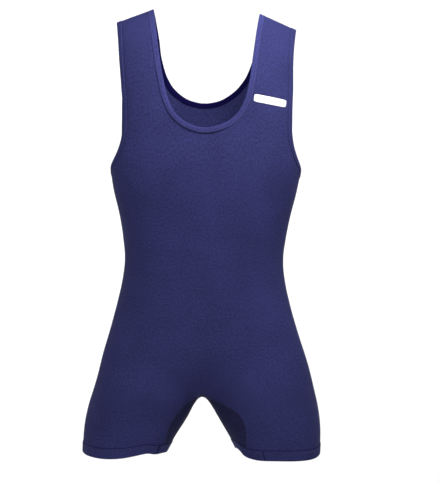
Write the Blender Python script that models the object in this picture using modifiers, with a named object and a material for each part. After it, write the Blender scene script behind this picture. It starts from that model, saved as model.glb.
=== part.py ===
"""Powerlifting squat suit, filled out as it is worn, with nobody in it.

Metres, +Z up. The front faces -Y and the wearer's left is +X. The origin is
where the shoulders carry the suit: midway between the tops of the two straps.

Every piece is a strip or a panel of one smooth middle surface. A place on that
surface is a turn and a level. The turn goes round the body: 0 at the side
seam, 1 at the front centre and -1 at the back centre, or the inner leg. The
level is the height below the chest line, and above it the way along the arch
that carries each strap over the shoulder.
"""
import math

import bmesh
import bpy
import numpy as np

MM = 0.001

# Heights, from the strap tops down
CHEST_LINE = -255 * MM
RISE_LINE = -540 * MM
CROTCH = -642 * MM
HEM = -735 * MM

# Straps
STRAP_INNER = 89.5 * MM
STRAP_OUTER = 152 * MM
STRAP_SLOPE = math.radians(20.3)
ARCH_LENGTH = 300 * MM
ARCH_POWER = 2.3

# Legs, and the round crotch between them
LEG_POWER = 2.1
LEG_EASE = 5
LEG_SPREAD = 0.515
CROTCH_ROUND = 24 * MM
ARCH_NARROWING = 6

# Turn beyond which the seat is round, and how soon it becomes so
SEAT_EDGE = 0.3
SEAT_BLEND = 0.5
SEAT_POWER = 2.8

# Cloth, trims and seams
SEAM = 0.3 * MM
PANEL_WALL = 1.2 * MM
BINDING_WALL = 2.8 * MM
BINDING_WIDTH = 9.5 * MM
BAND_WALL = 2.4 * MM
BAND_HEIGHT = 17 * MM
GUSSET_FRONT = -636 * MM
GUSSET_BACK = -638 * MM
LEG_LINE = HEM + BAND_HEIGHT

# Levels
SEAT_DEPTH = RISE_LINE - CROTCH
RISE_LEVEL = RISE_LINE - CHEST_LINE
CROTCH_LEVEL = RISE_LEVEL - SEAT_DEPTH * math.pi / 2

# Blank patch on the wearer's left chest
LABEL_CENTRE = (103 * MM, -147 * MM)
LABEL_SIZE = (52 * MM, 13 * MM)
LABEL_TILT = math.radians(-8)
LABEL_WALL = 1.0 * MM

# Grid counts
PANEL_COLUMNS = 10
LEG_ROWS = 8
TORSO_ROWS = 14
NECK_ROWS = 15
ARMHOLE_ROWS = 20
SIDE_ROWS = LEG_ROWS + TORSO_ROWS + NECK_ROWS - ARMHOLE_ROWS
GUSSET_COLUMNS = 12
BAND_STATIONS = 40
CURVE_SAMPLES = 600
SEAM_ROW = 3 * MM
SEAM_COLUMN = 0.02
CROTCH_CROWD = 1.3
SHIFT_STEPS = 4
SLOPE_STEP = 1e-4
MERGE = 0.01 * MM
LABEL_GRID = (9, 3)

# How far, and over how many rows, panel rows bend away from a corner
BEND = 180 * MM
BEND_ROWS = 4
BEND_POWER = 4

# Half width at the side, and depth to the front and to the back, in millimetres,
# and the power of the section's outline: 2 is an ellipse and more is squarer
SECTIONS = (
    # height, side, front, back, power
    (-735, 202.0, 85, 88, 3.0),
    (-690, 200.0, 87, 96, 3.0),
    (-660, 195.0, 89, 103, 3.0),
    (-626, 186.0, 91, 111, 2.9),
    (-578, 173.6, 92, 114, 2.65),
    (-530, 158.8, 92.5, 106, 2.5),
    (-483, 145.9, 92, 93, 2.5),
    (-447, 138.0, 92, 84, 2.5),
    (-411, 134.3, 93, 81, 2.55),
    (-375, 137.6, 95, 85, 2.7),
    (-340, 143.6, 98.5, 93, 2.85),
    (-290, 155.6, 104, 102, 3.05),
    (-255, 161.2, 105, 105, 3.1),
    (-225, 161.2, 105, 105, 3.1),
)

# Finished neck edge, from its lowest point up to the strap top, in millimetres
FRONT_NECK = (
    # half width, height
    (0, -195),
    (20, -191.6),
    (34.5, -184.8),
    (45.6, -176.2),
    (53, -167),
    (61.3, -150),
    (70.3, -114.5),
    (76.9, -72),
    (82.6, -29),
)
BACK_NECK = (
    (0, -135),
    (15, -133.3),
    (29, -129),
    (42, -121.2),
    (54, -111),
    (67.5, -92),
    (77.8, -65),
    (84, -28),
)

# Finished armhole edge, from the underarm up to the strap top
FRONT_ARMHOLE = (
    # half width, height
    (161.2, -262),
    (158.5, -254),
    (152, -241),
    (146.5, -228),
    (140.3, -202),
    (139.3, -175),
    (142, -121),
    (145.5, -66),
)
BACK_ARMHOLE = (
    (161.2, -262),
    (158.5, -254),
    (153, -241),
    (148.5, -228),
    (143.5, -202),
    (142.5, -175),
    (144, -121),
    (146.5, -66),
)

# Gusset seam, from the crotch to the leg band
FRONT_GUSSET = (
    # degrees round the leg from its outer side, height in millimetres
    (146, -645),
    (135, -650),
    (125.6, -660),
    (121.6, -684),
    (124, -702),
    (127.5, -718),
)
BACK_GUSSET = (
    (146, -645),
    (136, -651),
    (128, -661),
    (125, -682),
    (127, -702),
    (130, -718),
)

NAVY = (0.028, 0.031, 0.105)
NAVY_TRIM = (0.036, 0.040, 0.130)
NAVY_DARK = (0.020, 0.021, 0.075)
WHITE = (0.80, 0.80, 0.80)


def cubic(knots, values, at):
    """Smooth curve through values at rising knots, read at other places."""
    slopes = np.gradient(values, knots)
    low = np.clip(np.searchsorted(knots, at) - 1, 0, len(knots) - 2)
    span = knots[low + 1] - knots[low]
    t = (at - knots[low]) / span
    start = (1 + 2 * t) * (1 - t) ** 2 * values[low]
    start_slope = t * (1 - t) ** 2 * span * slopes[low]
    end = t ** 2 * (3 - 2 * t) * values[low + 1]
    end_slope = t ** 2 * (t - 1) * span * slopes[low + 1]
    return start + start_slope + end + end_slope


def section_sizes(height):
    """Half width, front depth, back depth and power of the body at a height."""
    rows = np.array(SECTIONS)
    sizes = [cubic(rows[:, 0], column, height / MM) for column in rows.T[1:]]
    return sizes[0] * MM, sizes[1] * MM, sizes[2] * MM, sizes[3]


def oval(angle, half_width, depth, power):
    """Point of a squarish ellipse, its angle from +X towards the front."""
    across = np.abs(np.cos(angle) / half_width) ** power
    deep = np.abs(np.sin(angle) / depth) ** power
    radius = (across + deep) ** (-1 / power)
    return radius * np.cos(angle), -radius * np.sin(angle)


def oval_angle(share, power):
    """Angle at which a round squarish ellipse has reached a share of its radius."""
    share = np.clip(share, 0, 1) ** power
    return np.arctan2(share ** (1 / power), (1 - share) ** (1 / power))


def leg_angle(turn):
    """Angle round the leg. It slows at the inner leg, which rounds the crotch."""
    return math.pi * (LEG_EASE * turn - turn ** LEG_EASE) / (LEG_EASE - 1)


def leg_turn(angle):
    """Turn that gives an angle round the leg."""
    turns = np.linspace(0, 1, CURVE_SAMPLES)
    return np.interp(angle, leg_angle(turns), turns)


def seat_angle(level):
    """Way round the seat: 0 at the top of the rise, a quarter turn below it."""
    return np.clip((RISE_LEVEL - level) / SEAT_DEPTH, 0, math.pi / 2)


def leg_drop(level):
    """Way down the leg from the crotch."""
    return np.maximum(CROTCH_LEVEL - level, 0)


def height_of(level):
    """Height at a level, which stands still at the crotch."""
    torso = CHEST_LINE + np.clip(level, RISE_LEVEL, 0)
    fall = SEAT_DEPTH * oval(seat_angle(level), 1, 1, SEAT_POWER)[1]
    return torso + fall + CROTCH_ROUND - np.hypot(leg_drop(level), CROTCH_ROUND)


def level_below(height):
    """Level of a height that is under the chest line."""
    torso = np.maximum(height, RISE_LINE) - CHEST_LINE
    seat = oval_angle((RISE_LINE - height) / SEAT_DEPTH, SEAT_POWER)
    leg = np.maximum(CROTCH - height, 0) + CROTCH_ROUND
    return torso - SEAT_DEPTH * seat - np.sqrt(leg ** 2 - CROTCH_ROUND ** 2)


def strap_top(x):
    """Height of the shoulder line at a half width."""
    return ((STRAP_INNER + STRAP_OUTER) / 2 - x) * math.tan(STRAP_SLOPE)


def eased(share):
    """Soft step from 0 to 1."""
    share = np.clip(share, 0, 1)
    return share ** 2 * (3 - 2 * share)


def torso_share(turn, level):
    """How much of the torso section is left on the way down the seat.

    It is one less the fall to a power, all to another power. At the centre that
    is a squarish quarter turn, which gives the crotch its round rise. Round the
    outside both powers are 2, which makes it a soft step.
    """
    fall = np.clip(-oval(seat_angle(level), 1, 1, SEAT_POWER)[1], 0, 1)
    middle = eased((np.abs(turn) - SEAT_EDGE) / SEAT_BLEND)
    fall_power = 2 + (SEAT_POWER - 2) * middle
    return (1 - fall ** fall_power) ** (2 / (2 * SEAT_POWER) ** middle)


def inner_leg(angle, level):
    """Half the gap between the legs, with its round arch at the inner leg only."""
    inner_part = ((1 - np.cos(angle)) / 2) ** ARCH_NARROWING
    soft = CROTCH_ROUND * (1 - inner_part)
    return LEG_SPREAD * (np.hypot(leg_drop(level), soft) - soft)


def surface(turn, level):
    """Point of the suit's middle surface, with a last axis of X, Y and Z."""
    turn, level = np.broadcast_arrays(turn, level)
    height = height_of(level)
    side, front, back, power = section_sizes(height)
    depth = np.where(turn >= 0, front, back)
    torso_x, torso_y = oval(turn * math.pi / 2, side, depth, power)
    angle = leg_angle(turn)
    inner = inner_leg(angle, level)
    leg_x, leg_y = oval(angle, (side - inner) / 2, depth, LEG_POWER)
    torso = torso_share(turn, level)
    x = torso * torso_x + (1 - torso) * (leg_x + (side + inner) / 2)
    y = torso * torso_y + (1 - torso) * leg_y
    lift = np.maximum(level, 0) / ARCH_LENGTH * math.pi / 2
    rise, reach = oval(lift, 1, 1, ARCH_POWER)
    z = height - (strap_top(x) - CHEST_LINE) * reach
    return np.stack([x, y * rise, z], axis=-1)


def normal(turn, level):
    """Outward unit normal of the middle surface."""
    along_turn, along_level = slopes(turn, level)
    across = np.cross(along_level, along_turn)
    return across / np.linalg.norm(across, axis=-1, keepdims=True)


def slopes(turn, level):
    """Rates of change of the surface with the turn and with the level."""
    along_turn = surface(turn + SLOPE_STEP, level) - surface(turn - SLOPE_STEP, level)
    along_level = surface(turn, level + SLOPE_STEP) - surface(turn, level - SLOPE_STEP)
    return along_turn / (2 * SLOPE_STEP), along_level / (2 * SLOPE_STEP)


def chest_turn(x):
    """Turn of the front surface at a half width, on the chest line."""
    turns = np.linspace(0, 1, CURVE_SAMPLES)
    widths = surface(turns, np.zeros(CURVE_SAMPLES))[:, 0]
    return np.interp(x, widths[::-1], turns[::-1])


def level_at(turn, height):
    """Level at which the surface reaches a height, at a turn on the chest."""
    x = surface(turn, np.zeros_like(turn))[..., 0]
    share = (height - CHEST_LINE) / (strap_top(x) - CHEST_LINE)
    arch = oval_angle(share, ARCH_POWER) / (math.pi / 2) * ARCH_LENGTH
    return np.where(height > CHEST_LINE, arch, level_below(height))


def edge_curve(turns, levels, pivot, far):
    """Fine curve through an edge's rows.

    The pivot is the turn about which the edge is its own mirror image at its
    start. The far level does the same at its end.
    """
    turns = np.concatenate([[2 * pivot - turns[1]], turns, turns[-2:-1]])
    levels = np.concatenate([levels[1:2], levels, [2 * far - levels[-2]]])
    chords = np.hypot(np.diff(turns) * ARCH_LENGTH / 2, np.diff(levels))
    knots = np.concatenate([[0], np.cumsum(chords)])
    at = np.linspace(knots[1], knots[-2], CURVE_SAMPLES)
    return cubic(knots, turns, at), cubic(knots, levels, at)


def neck_edge(rows, face):
    """Neck edge from the centre up to the strap top; face is 1 or -1."""
    rows = np.array(rows) * MM
    turns = chest_turn(np.append(rows[:, 0], STRAP_INNER))
    levels = np.append(level_at(turns[:-1], rows[:, 1]), ARCH_LENGTH)
    turns, levels = edge_curve(turns, levels, 1, ARCH_LENGTH)
    return face * turns, levels


def armhole_edge(rows, face):
    """Armhole edge from the underarm up to the strap top; face is 1 or -1."""
    rows = np.array(rows) * MM
    turns = chest_turn(np.append(rows[:, 0], STRAP_OUTER))
    levels = np.append(level_at(turns[:-1], rows[:, 1]), ARCH_LENGTH)
    turns, levels = edge_curve(turns, levels, 0, ARCH_LENGTH)
    return face * turns, levels


def gusset_seam(rows, start, face):
    """Gusset seam from the crotch centre down to the leg band."""
    rows = np.array(rows)
    turns = np.append(1, leg_turn(np.radians(rows[:, 0])))
    levels = level_below(np.append(start, rows[:, 1] * MM))
    turns, levels = edge_curve(turns, levels, 1, levels[-1])
    return face * turns, levels


def shifted(curve, distance):
    """Curve moved sideways in the surface, to its left seen from outside."""
    for _ in range(SHIFT_STEPS):
        curve = nudged(curve, distance / SHIFT_STEPS)
    return curve


def nudged(curve, distance):
    """Curve moved a short way sideways in the surface."""
    turn, level = curve
    places = surface(turn, level)
    forward = np.gradient(places, axis=0)
    forward /= np.linalg.norm(forward, axis=1, keepdims=True)
    move = np.cross(normal(turn, level), forward) * distance
    along_turn, along_level = slopes(turn, level)
    a = np.sum(along_turn ** 2, axis=1)
    b = np.sum(along_turn * along_level, axis=1)
    c = np.sum(along_level ** 2, axis=1)
    p = np.sum(along_turn * move, axis=1)
    q = np.sum(along_level * move, axis=1)
    scale = a * c - b * b
    return turn + (c * p - b * q) / scale, level + (a * q - b * p) / scale


def stations(curve, count, near=0, crowd=1):
    """Places of stations along a fine curve, counted in its samples.

    They are even, or crowded towards the start by a power above 1. One more
    station lies near the far end, where the next piece carries on.
    """
    chords = np.linalg.norm(np.diff(surface(*curve), axis=0), axis=1)
    way = np.concatenate([[0], np.cumsum(chords)])
    at = np.linspace(0, 1, count + 1) ** crowd * way[-1]
    if near:
        at = np.insert(at, -1, way[-1] - near)
    return np.interp(at, way, np.arange(len(way)))


def picked(curve, at):
    """Points of a fine curve at its stations."""
    samples = np.arange(len(curve[0]))
    return np.interp(at, samples, curve[0]), np.interp(at, samples, curve[1])


def joined(*curves):
    """One run of points from several, each starting where the last one ends."""
    turns = [curve[0][1:] for curve in curves[1:]]
    levels = [curve[1][1:] for curve in curves[1:]]
    first = curves[0]
    return np.concatenate([first[0], *turns]), np.concatenate([first[1], *levels])


def drawn_back(edge, inside):
    """Edge of a piece drawn back half a gap from its seam line."""
    along = np.gradient(edge, axis=0)
    along /= np.linalg.norm(along, axis=1, keepdims=True)
    inward = inside - edge
    inward -= np.sum(inward * along, axis=1, keepdims=True) * along
    inward /= np.linalg.norm(inward, axis=1, keepdims=True)
    return edge + inward * SEAM / 2


def row_levels(inner, outer, share):
    """Levels along each row of a panel.

    Rows are even in level at the inner edge and in height at the outer edge.
    Each bends away from the corner at the crotch, the neck or the underarm
    near it, so that it leaves that edge at an open angle.
    """
    def pace(level):
        return np.where(level < 0, height_of(level) - CHEST_LINE, level)

    steady = inner * (1 - share) + outer * share
    paced = pace(inner) * (1 - share) + pace(outer) * share
    paced = np.where(paced < 0, level_below(paced + CHEST_LINE), paced)
    row = np.arange(len(inner))[:, None]
    levels = steady * (1 - share) + paced * share
    for corner, bend, way in (
        (LEG_ROWS, 1, 1 - share),
        (LEG_ROWS + TORSO_ROWS, -1, 1 - share),
        (SIDE_ROWS, -1, share),
    ):
        near = np.exp(-((row - corner) / BEND_ROWS) ** 2)
        levels = levels + bend * BEND * near * way ** BEND_POWER * (1 - way)
    return levels


def panel_grid(face, neck_rows, armhole_rows, gusset_rows, gusset_start):
    """Half panel from its inner edge to its outer edge, row by row upwards."""
    seam = gusset_seam(gusset_rows, gusset_start, face)
    seam = picked(seam, stations(seam, LEG_ROWS, crowd=CROTCH_CROWD)[::-1])
    neck = neck_edge(neck_rows, face)
    at = stations(neck, NECK_ROWS, SEAM_ROW)
    neck = picked(shifted(neck, -face * BINDING_WIDTH), at)
    neck[0][0] = face
    centre = np.linspace(seam[1][-1], neck[1][0], TORSO_ROWS)
    centre = np.insert(centre, 1, centre[0] + SEAM_ROW)
    inner = joined(seam, (np.full(TORSO_ROWS + 1, float(face)), centre), neck)
    arm = armhole_edge(armhole_rows, face)
    at = stations(arm, ARMHOLE_ROWS, SEAM_ROW)
    arm = picked(shifted(arm, face * BINDING_WIDTH), at)
    arm[0][0] = 0
    side = np.linspace(LEG_LINE, height_of(arm[1][0]), SIDE_ROWS + 1)
    outer = joined((np.zeros(SIDE_ROWS + 1), level_below(side)), arm)
    share = np.linspace(0, 1, PANEL_COLUMNS + 1)
    share = np.insert(share, [1, -1], [SEAM_COLUMN, 1 - SEAM_COLUMN])[None, :]
    turns = inner[0][:, None] * (1 - share) + outer[0][:, None] * share
    levels = row_levels(inner[1][:, None], outer[1][:, None], share)
    grid = surface(turns, levels)
    neck_start = LEG_ROWS + TORSO_ROWS
    for run, border, inside in (
        (slice(0, LEG_ROWS + 1), 0, 1),
        (slice(neck_start, None), 0, 1),
        (slice(0, SIDE_ROWS + 1), -1, -2),
        (slice(SIDE_ROWS, None), -1, -2),
    ):
        grid[run, border] = drawn_back(grid[run, border], grid[run, inside])
    grid[0] = drawn_back(grid[0], grid[1])
    grid[-1] = drawn_back(grid[-1], grid[-2])
    grid[LEG_ROWS:neck_start + 1, 0, 0] = 0
    return grid


def gusset_grid():
    """Half gusset: rows from the crotch to the leg band, front to back."""
    down = np.linspace(0, 1, LEG_ROWS + 1) ** CROTCH_CROWD
    middle = CROTCH_LEVEL + (level_below(LEG_LINE) - CROTCH_LEVEL) * down
    share = np.linspace(1, 0, GUSSET_COLUMNS // 2 + 1)
    share = np.insert(share, 1, 1 - 2 * SEAM_COLUMN)[None, :]
    halves = []
    for face, rows, start in (
        (1.0, FRONT_GUSSET, GUSSET_FRONT),
        (-1.0, BACK_GUSSET, GUSSET_BACK),
    ):
        seam = gusset_seam(rows, start, face)
        seam = picked(seam, stations(seam, LEG_ROWS, crowd=CROTCH_CROWD))
        turns = face + (seam[0][:, None] - face) * share
        levels = middle[:, None] + (seam[1] - middle)[:, None] * share
        half = surface(turns, levels)
        half[:, 0] = drawn_back(half[:, 0], half[:, 1])
        halves.append(half)
    grid = np.concatenate([halves[0], halves[1][:, -2::-1]], axis=1)
    grid[-1] = drawn_back(grid[-1], grid[-2])
    grid[0, :, 0] = 0
    return grid


def strip_grid(edge, width, count):
    """Strip beside an edge: its three lines, the finished one first."""
    at = stations(edge, count, SEAM_ROW)
    lines = [shifted(edge, width * share) for share in (0, 0.5, 1)]
    grid = np.stack([surface(*picked(line, at)) for line in lines])
    grid[-1] = drawn_back(grid[-1], grid[-2])
    return grid


def neck_grid():
    """Half neck binding, from the front centre over the strap to the back."""
    front = strip_grid(neck_edge(FRONT_NECK, 1), -BINDING_WIDTH, NECK_ROWS)
    back = strip_grid(neck_edge(BACK_NECK, -1), BINDING_WIDTH, NECK_ROWS)
    front[:, 0, 0] = 0
    back[:, 0, 0] = 0
    top = (front[:, -1:] + back[:, -1:]) / 2
    return np.concatenate([front[:, :-1], top, back[:, -2::-1]], axis=1)


def armhole_grid():
    """Armhole binding on the wearer's left, a closed loop from the underarm."""
    front = armhole_edge(FRONT_ARMHOLE, 1)
    back = armhole_edge(BACK_ARMHOLE, -1)
    front = strip_grid(front, BINDING_WIDTH, ARMHOLE_ROWS)
    back = strip_grid(back, -BINDING_WIDTH, ARMHOLE_ROWS)
    top = (front[:, -1:] + back[:, -1:]) / 2
    under = (front[:, :1] + back[:, :1]) / 2
    return np.concatenate([under, front[:, 1:-1], top, back[:, -2:0:-1], under], axis=1)


def band_grid():
    """Leg band on the wearer's left, a closed loop from the inner leg."""
    angles = np.linspace(math.pi, -math.pi, BAND_STATIONS + 1)
    turns = np.sign(angles) * leg_turn(np.abs(angles))
    heights = np.array([HEM, HEM + BAND_HEIGHT / 2, LEG_LINE - SEAM / 2])
    return surface(turns[None, :], level_below(heights)[:, None])


def label_grid():
    """Patch on the chest, laid a seam's gap outside the front panel."""
    along = np.linspace(-0.5, 0.5, LABEL_GRID[0])[None, :] * LABEL_SIZE[0]
    up = np.linspace(-0.5, 0.5, LABEL_GRID[1])[:, None] * LABEL_SIZE[1]
    x = LABEL_CENTRE[0] + along * math.cos(LABEL_TILT) - up * math.sin(LABEL_TILT)
    height = LABEL_CENTRE[1] + along * math.sin(LABEL_TILT) + up * math.cos(LABEL_TILT)
    turn = chest_turn(x)
    level = level_at(turn, height)
    clear = PANEL_WALL / 2 + SEAM + LABEL_WALL / 2
    return surface(turn, level) + normal(turn, level) * clear


def material(name, colour, roughness):
    """Plain cloth material in linear colour."""
    made = bpy.data.materials.new(name)
    made.use_nodes = True
    shader = made.node_tree.nodes["Principled BSDF"]
    shader.inputs["Base Color"].default_value = (*colour, 1)
    shader.inputs["Roughness"].default_value = roughness
    shader.inputs["Metallic"].default_value = 0
    return made


def add_piece(collection, name, grid, wall, finish, mirrored=False, closed=False):
    """Cloth piece of even wall round a grid of points on the middle surface."""
    rows, columns = grid.shape[:2]
    made = bmesh.new()
    bmesh.ops.create_grid(made, x_segments=columns - 1, y_segments=rows - 1, size=1)
    for vertex, place in zip(made.verts, grid.reshape(-1, 3)):
        vertex.co = place
    if closed:
        bmesh.ops.remove_doubles(made, verts=made.verts, dist=MERGE)
    mesh = bpy.data.meshes.new(name)
    made.to_mesh(mesh)
    made.free()
    piece = bpy.data.objects.new(name, mesh)
    collection.objects.link(piece)
    mesh.materials.append(finish)
    if mirrored:
        mirror = piece.modifiers.new("mirror", "MIRROR")
        mirror.merge_threshold = MERGE
    shell = piece.modifiers.new("wall", "SOLIDIFY")
    shell.thickness = wall
    shell.offset = 0
    return piece


def build():
    """Make every piece of the suit."""
    for old in list(bpy.data.objects):
        bpy.data.objects.remove(old, do_unlink=True)
    suit = bpy.data.collections.new("squat_suit")
    bpy.context.scene.collection.children.link(suit)
    knit = material("knitted_polyester_navy", NAVY, 0.7)
    trim = material("binding_knit_navy", NAVY_TRIM, 0.65)
    under = material("gusset_knit_navy", NAVY_DARK, 0.75)
    white = material("label_white", WHITE, 0.6)
    front = panel_grid(1, FRONT_NECK, FRONT_ARMHOLE, FRONT_GUSSET, GUSSET_FRONT)
    back = panel_grid(-1, BACK_NECK, BACK_ARMHOLE, BACK_GUSSET, GUSSET_BACK)
    add_piece(suit, "front_panel", front, PANEL_WALL, knit, mirrored=True)
    add_piece(suit, "back_panel", back[:, ::-1], PANEL_WALL, knit, mirrored=True)
    add_piece(suit, "crotch_gusset", gusset_grid(), PANEL_WALL, under, mirrored=True)
    add_piece(suit, "neck_binding", neck_grid(), BINDING_WALL, trim, mirrored=True)
    flip = np.array([-1, 1, 1])
    for grid, name, wall in (
        (armhole_grid(), "armhole_binding", BINDING_WALL),
        (band_grid(), "leg_band", BAND_WALL),
    ):
        add_piece(suit, name + "_left", grid, wall, trim, closed=True)
        other = (grid * flip)[:, ::-1]
        add_piece(suit, name + "_right", other, wall, trim, closed=True)
    add_piece(suit, "chest_label", label_grid(), LABEL_WALL, white)


build()
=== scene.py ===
"""Looks of a powerlifting squat suit, filled out as it is worn, with nobody in it.

Metres, +Z up. The front faces -Y and the wearer's left is +X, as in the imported
model. Every cloth piece lies on one smooth middle surface. A place on it is a
turn and a level: the turn goes round the body, 0 at the side seam, 1 at the
front centre and -1 at the back centre or the inner leg, and the level is the
height below the chest line, or above it the way along the arch of the strap.
"""

import logging
import math
from dataclasses import dataclass, field
from enum import Enum
from functools import partial
from typing import Callable

import bmesh
import bpy
import numpy as np
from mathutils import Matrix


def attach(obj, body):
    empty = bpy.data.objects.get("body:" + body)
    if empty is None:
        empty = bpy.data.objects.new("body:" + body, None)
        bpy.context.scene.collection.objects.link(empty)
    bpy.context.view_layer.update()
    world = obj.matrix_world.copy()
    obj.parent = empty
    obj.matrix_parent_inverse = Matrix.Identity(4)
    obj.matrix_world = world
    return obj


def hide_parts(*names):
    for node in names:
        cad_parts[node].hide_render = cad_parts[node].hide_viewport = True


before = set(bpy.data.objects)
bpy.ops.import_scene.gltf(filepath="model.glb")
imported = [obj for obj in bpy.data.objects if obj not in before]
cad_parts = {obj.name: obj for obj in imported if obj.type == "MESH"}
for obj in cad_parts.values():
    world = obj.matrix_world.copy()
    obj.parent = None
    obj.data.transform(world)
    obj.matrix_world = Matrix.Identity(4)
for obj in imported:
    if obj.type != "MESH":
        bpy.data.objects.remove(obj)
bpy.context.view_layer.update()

log = logging.getLogger("squat_suit")

MM = 0.001
# Samples of a fine line or table that places are read from
SAMPLES = 600
# Radians that Blender's wave texture runs through in one unit, at scale 1
WAVE_RADIANS = 20
Array = np.ndarray
Place = tuple[Array, Array]


class Face(Enum):
    """Front or back of the suit, as the sign of the turn."""

    FRONT = 1
    BACK = -1


class Side(Enum):
    """The wearer's left or right, as the sign of X."""

    LEFT = 1
    RIGHT = -1


def smooth_curve(knots: Array, values: Array, at: Array) -> Array:
    """Read a smooth curve through values at rising knots.

    Between two knots it is the cubic that meets both values and both slopes,
    and a knot's slope is the mean of those beside it.

    Args:
        knots: Rising places of the values.
        values: What the curve passes through.
        at: Places to read.

    Returns:
        The curve's value at each place.
    """
    slopes = np.gradient(values, knots)
    low = np.clip(np.searchsorted(knots, at) - 1, 0, len(knots) - 2)
    span = knots[low + 1] - knots[low]
    t = (at - knots[low]) / span
    start = (1 + 2 * t) * (1 - t) ** 2 * values[low] + t * (1 - t) ** 2 * span * slopes[low]
    end = t ** 2 * (3 - 2 * t) * values[low + 1] + t ** 2 * (t - 1) * span * slopes[low + 1]
    return start + end


def oval(angle: Array, half_width: Array, depth: Array, power: float | Array) -> Place:
    """Point of a squarish ellipse.

    The radius is one over the power-th root of the sum of the cosine over the
    half width and the sine over the depth, each to that power.

    Args:
        angle: Angle from +X towards the front, in radians.
        half_width: Half width along X.
        depth: Half depth along Y.
        power: 2 for an ellipse, more for a squarer outline.

    Returns:
        X and Y of the point.
    """
    across = np.abs(np.cos(angle) / half_width) ** power
    deep = np.abs(np.sin(angle) / depth) ** power
    radius = (across + deep) ** (-1 / power)
    return radius * np.cos(angle), -radius * np.sin(angle)


def oval_angle(share: Array, power: float) -> Array:
    """Angle at which a round squarish ellipse has reached a share of its radius."""
    share = np.clip(share, 0, 1) ** power
    return np.arctan2(share ** (1 / power), (1 - share) ** (1 / power))


def eased(share: Array) -> Array:
    """Soft step from 0 to 1: three times the square less twice the cube."""
    share = np.clip(share, 0, 1)
    return share ** 2 * (3 - 2 * share)


def unit(vectors: Array) -> Array:
    """Vectors of the last axis, each divided by its own length."""
    return vectors / np.linalg.norm(vectors, axis=-1, keepdims=True)


def way_along(points: Array) -> Array:
    """Way along a line to each of its points, the sum of the steps before it."""
    return np.concatenate([[0], np.cumsum(np.linalg.norm(np.diff(points, axis=0), axis=1))])


def read_along(at: Array, way: Array, values: Array) -> Array:
    """Columns of values, known along a way, read at other ways along it."""
    return np.stack([np.interp(at, way, column) for column in values.T], axis=1)


def left_calm(points: Array, fall: float = 0.6, reach: float = 60 * MM) -> Array:
    """Share that falls softly from 1 at the centre towards the wearer's left."""
    return 1 - fall * eased(points[..., 0] / reach)


# Body sections: height, half width at the side, depth to the front and back in
# millimetres, and the power of the outline
SECTIONS = (
    (-735, 202.0, 85, 88, 3.0),
    (-690, 200.0, 87, 96, 3.0),
    (-660, 195.0, 89, 103, 3.0),
    (-626, 186.0, 91, 111, 2.9),
    (-578, 173.6, 92, 114, 2.65),
    (-530, 158.8, 92.5, 106, 2.5),
    (-483, 145.9, 92, 93, 2.5),
    (-447, 138.0, 92, 84, 2.5),
    (-411, 134.3, 93, 81, 2.55),
    (-375, 137.6, 95, 85, 2.7),
    (-340, 143.6, 98.5, 93, 2.85),
    (-290, 155.6, 104, 102, 3.05),
    (-255, 161.2, 105, 105, 3.1),
    (-225, 161.2, 105, 105, 3.1),
)

# Finished edges, half width and height in millimetres, from the centre or the
# underarm up to the strap top
NECK = {
    Face.FRONT: (
        (0, -195), (20, -191.6), (34.5, -184.8), (45.6, -176.2), (53, -167),
        (61.3, -150), (70.3, -114.5), (76.9, -72), (82.6, -29),
    ),
    Face.BACK: (
        (0, -135), (15, -133.3), (29, -129), (42, -121.2), (54, -111),
        (67.5, -92), (77.8, -65), (84, -28),
    ),
}
ARMHOLE = {
    Face.FRONT: (
        (161.2, -262), (158.5, -254), (152, -241), (146.5, -228), (140.3, -202),
        (139.3, -175), (142, -121), (145.5, -66),
    ),
    Face.BACK: (
        (161.2, -262), (158.5, -254), (153, -241), (148.5, -228), (143.5, -202),
        (142.5, -175), (144, -121), (146.5, -66),
    ),
}

# Gusset seam from the crotch down: degrees round the leg, height in millimetres
GUSSET = {
    Face.FRONT: (
        (146, -645), (135, -650), (125.6, -660), (121.6, -684), (124, -702), (127.5, -718),
    ),
    Face.BACK: (
        (146, -645), (136, -651), (128, -661), (125, -682), (127, -702), (130, -718),
    ),
}

# Height of the gusset seam at the crotch centre, in millimetres
GUSSET_START = {Face.FRONT: -636, Face.BACK: -638}

# Degrees by which the gusset is turned round each leg, its front seam towards the
# inner leg
GUSSET_SWING = {Side.LEFT: -5.0, Side.RIGHT: 9.5}

# Degrees round the leg at which each leg band's ends are joined
BAND_JOINT = {Side.LEFT: 101, Side.RIGHT: 126}

# How much softer the bend at the crotch's height is drawn: its reach in millimetres,
# and the rounds of evening out
SOFT_BEND = {Face.FRONT: (28, 14), Face.BACK: (45, 60)}

# How far the outline stands to the wearer's left of an even one: height, and the shift
# of the wearer's left and right side, in millimetres
SWAY = (
    (-745, -2.6, 0.8), (-700, -0.4, 1.4), (-660, 1.2, 2.6), (-615, 2.4, 4.2),
    (-550, 0.9, 2.4), (-490, -0.3, 1.0), (-420, -0.7, 0.7), (-340, 0.2, 1.2),
    (-270, 0.3, 1.8), (-225, 2.2, 4.2), (-180, 3.7, 3.8), (-125, 2.4, 2.4),
    (-80, 0.0, 0.5), (20, 0.0, -1.5),
)

# Local shifts to the wearer's left, each a smooth hump: the middle of the hump and its
# reach along X, Y and Z, and the shift, in millimetres
DRIFTS = (
    (0, 95, -150, 200, 50, 60, -4.5),
    (-35, 0, -675, 25, 200, 25, 2.6),
)

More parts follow.
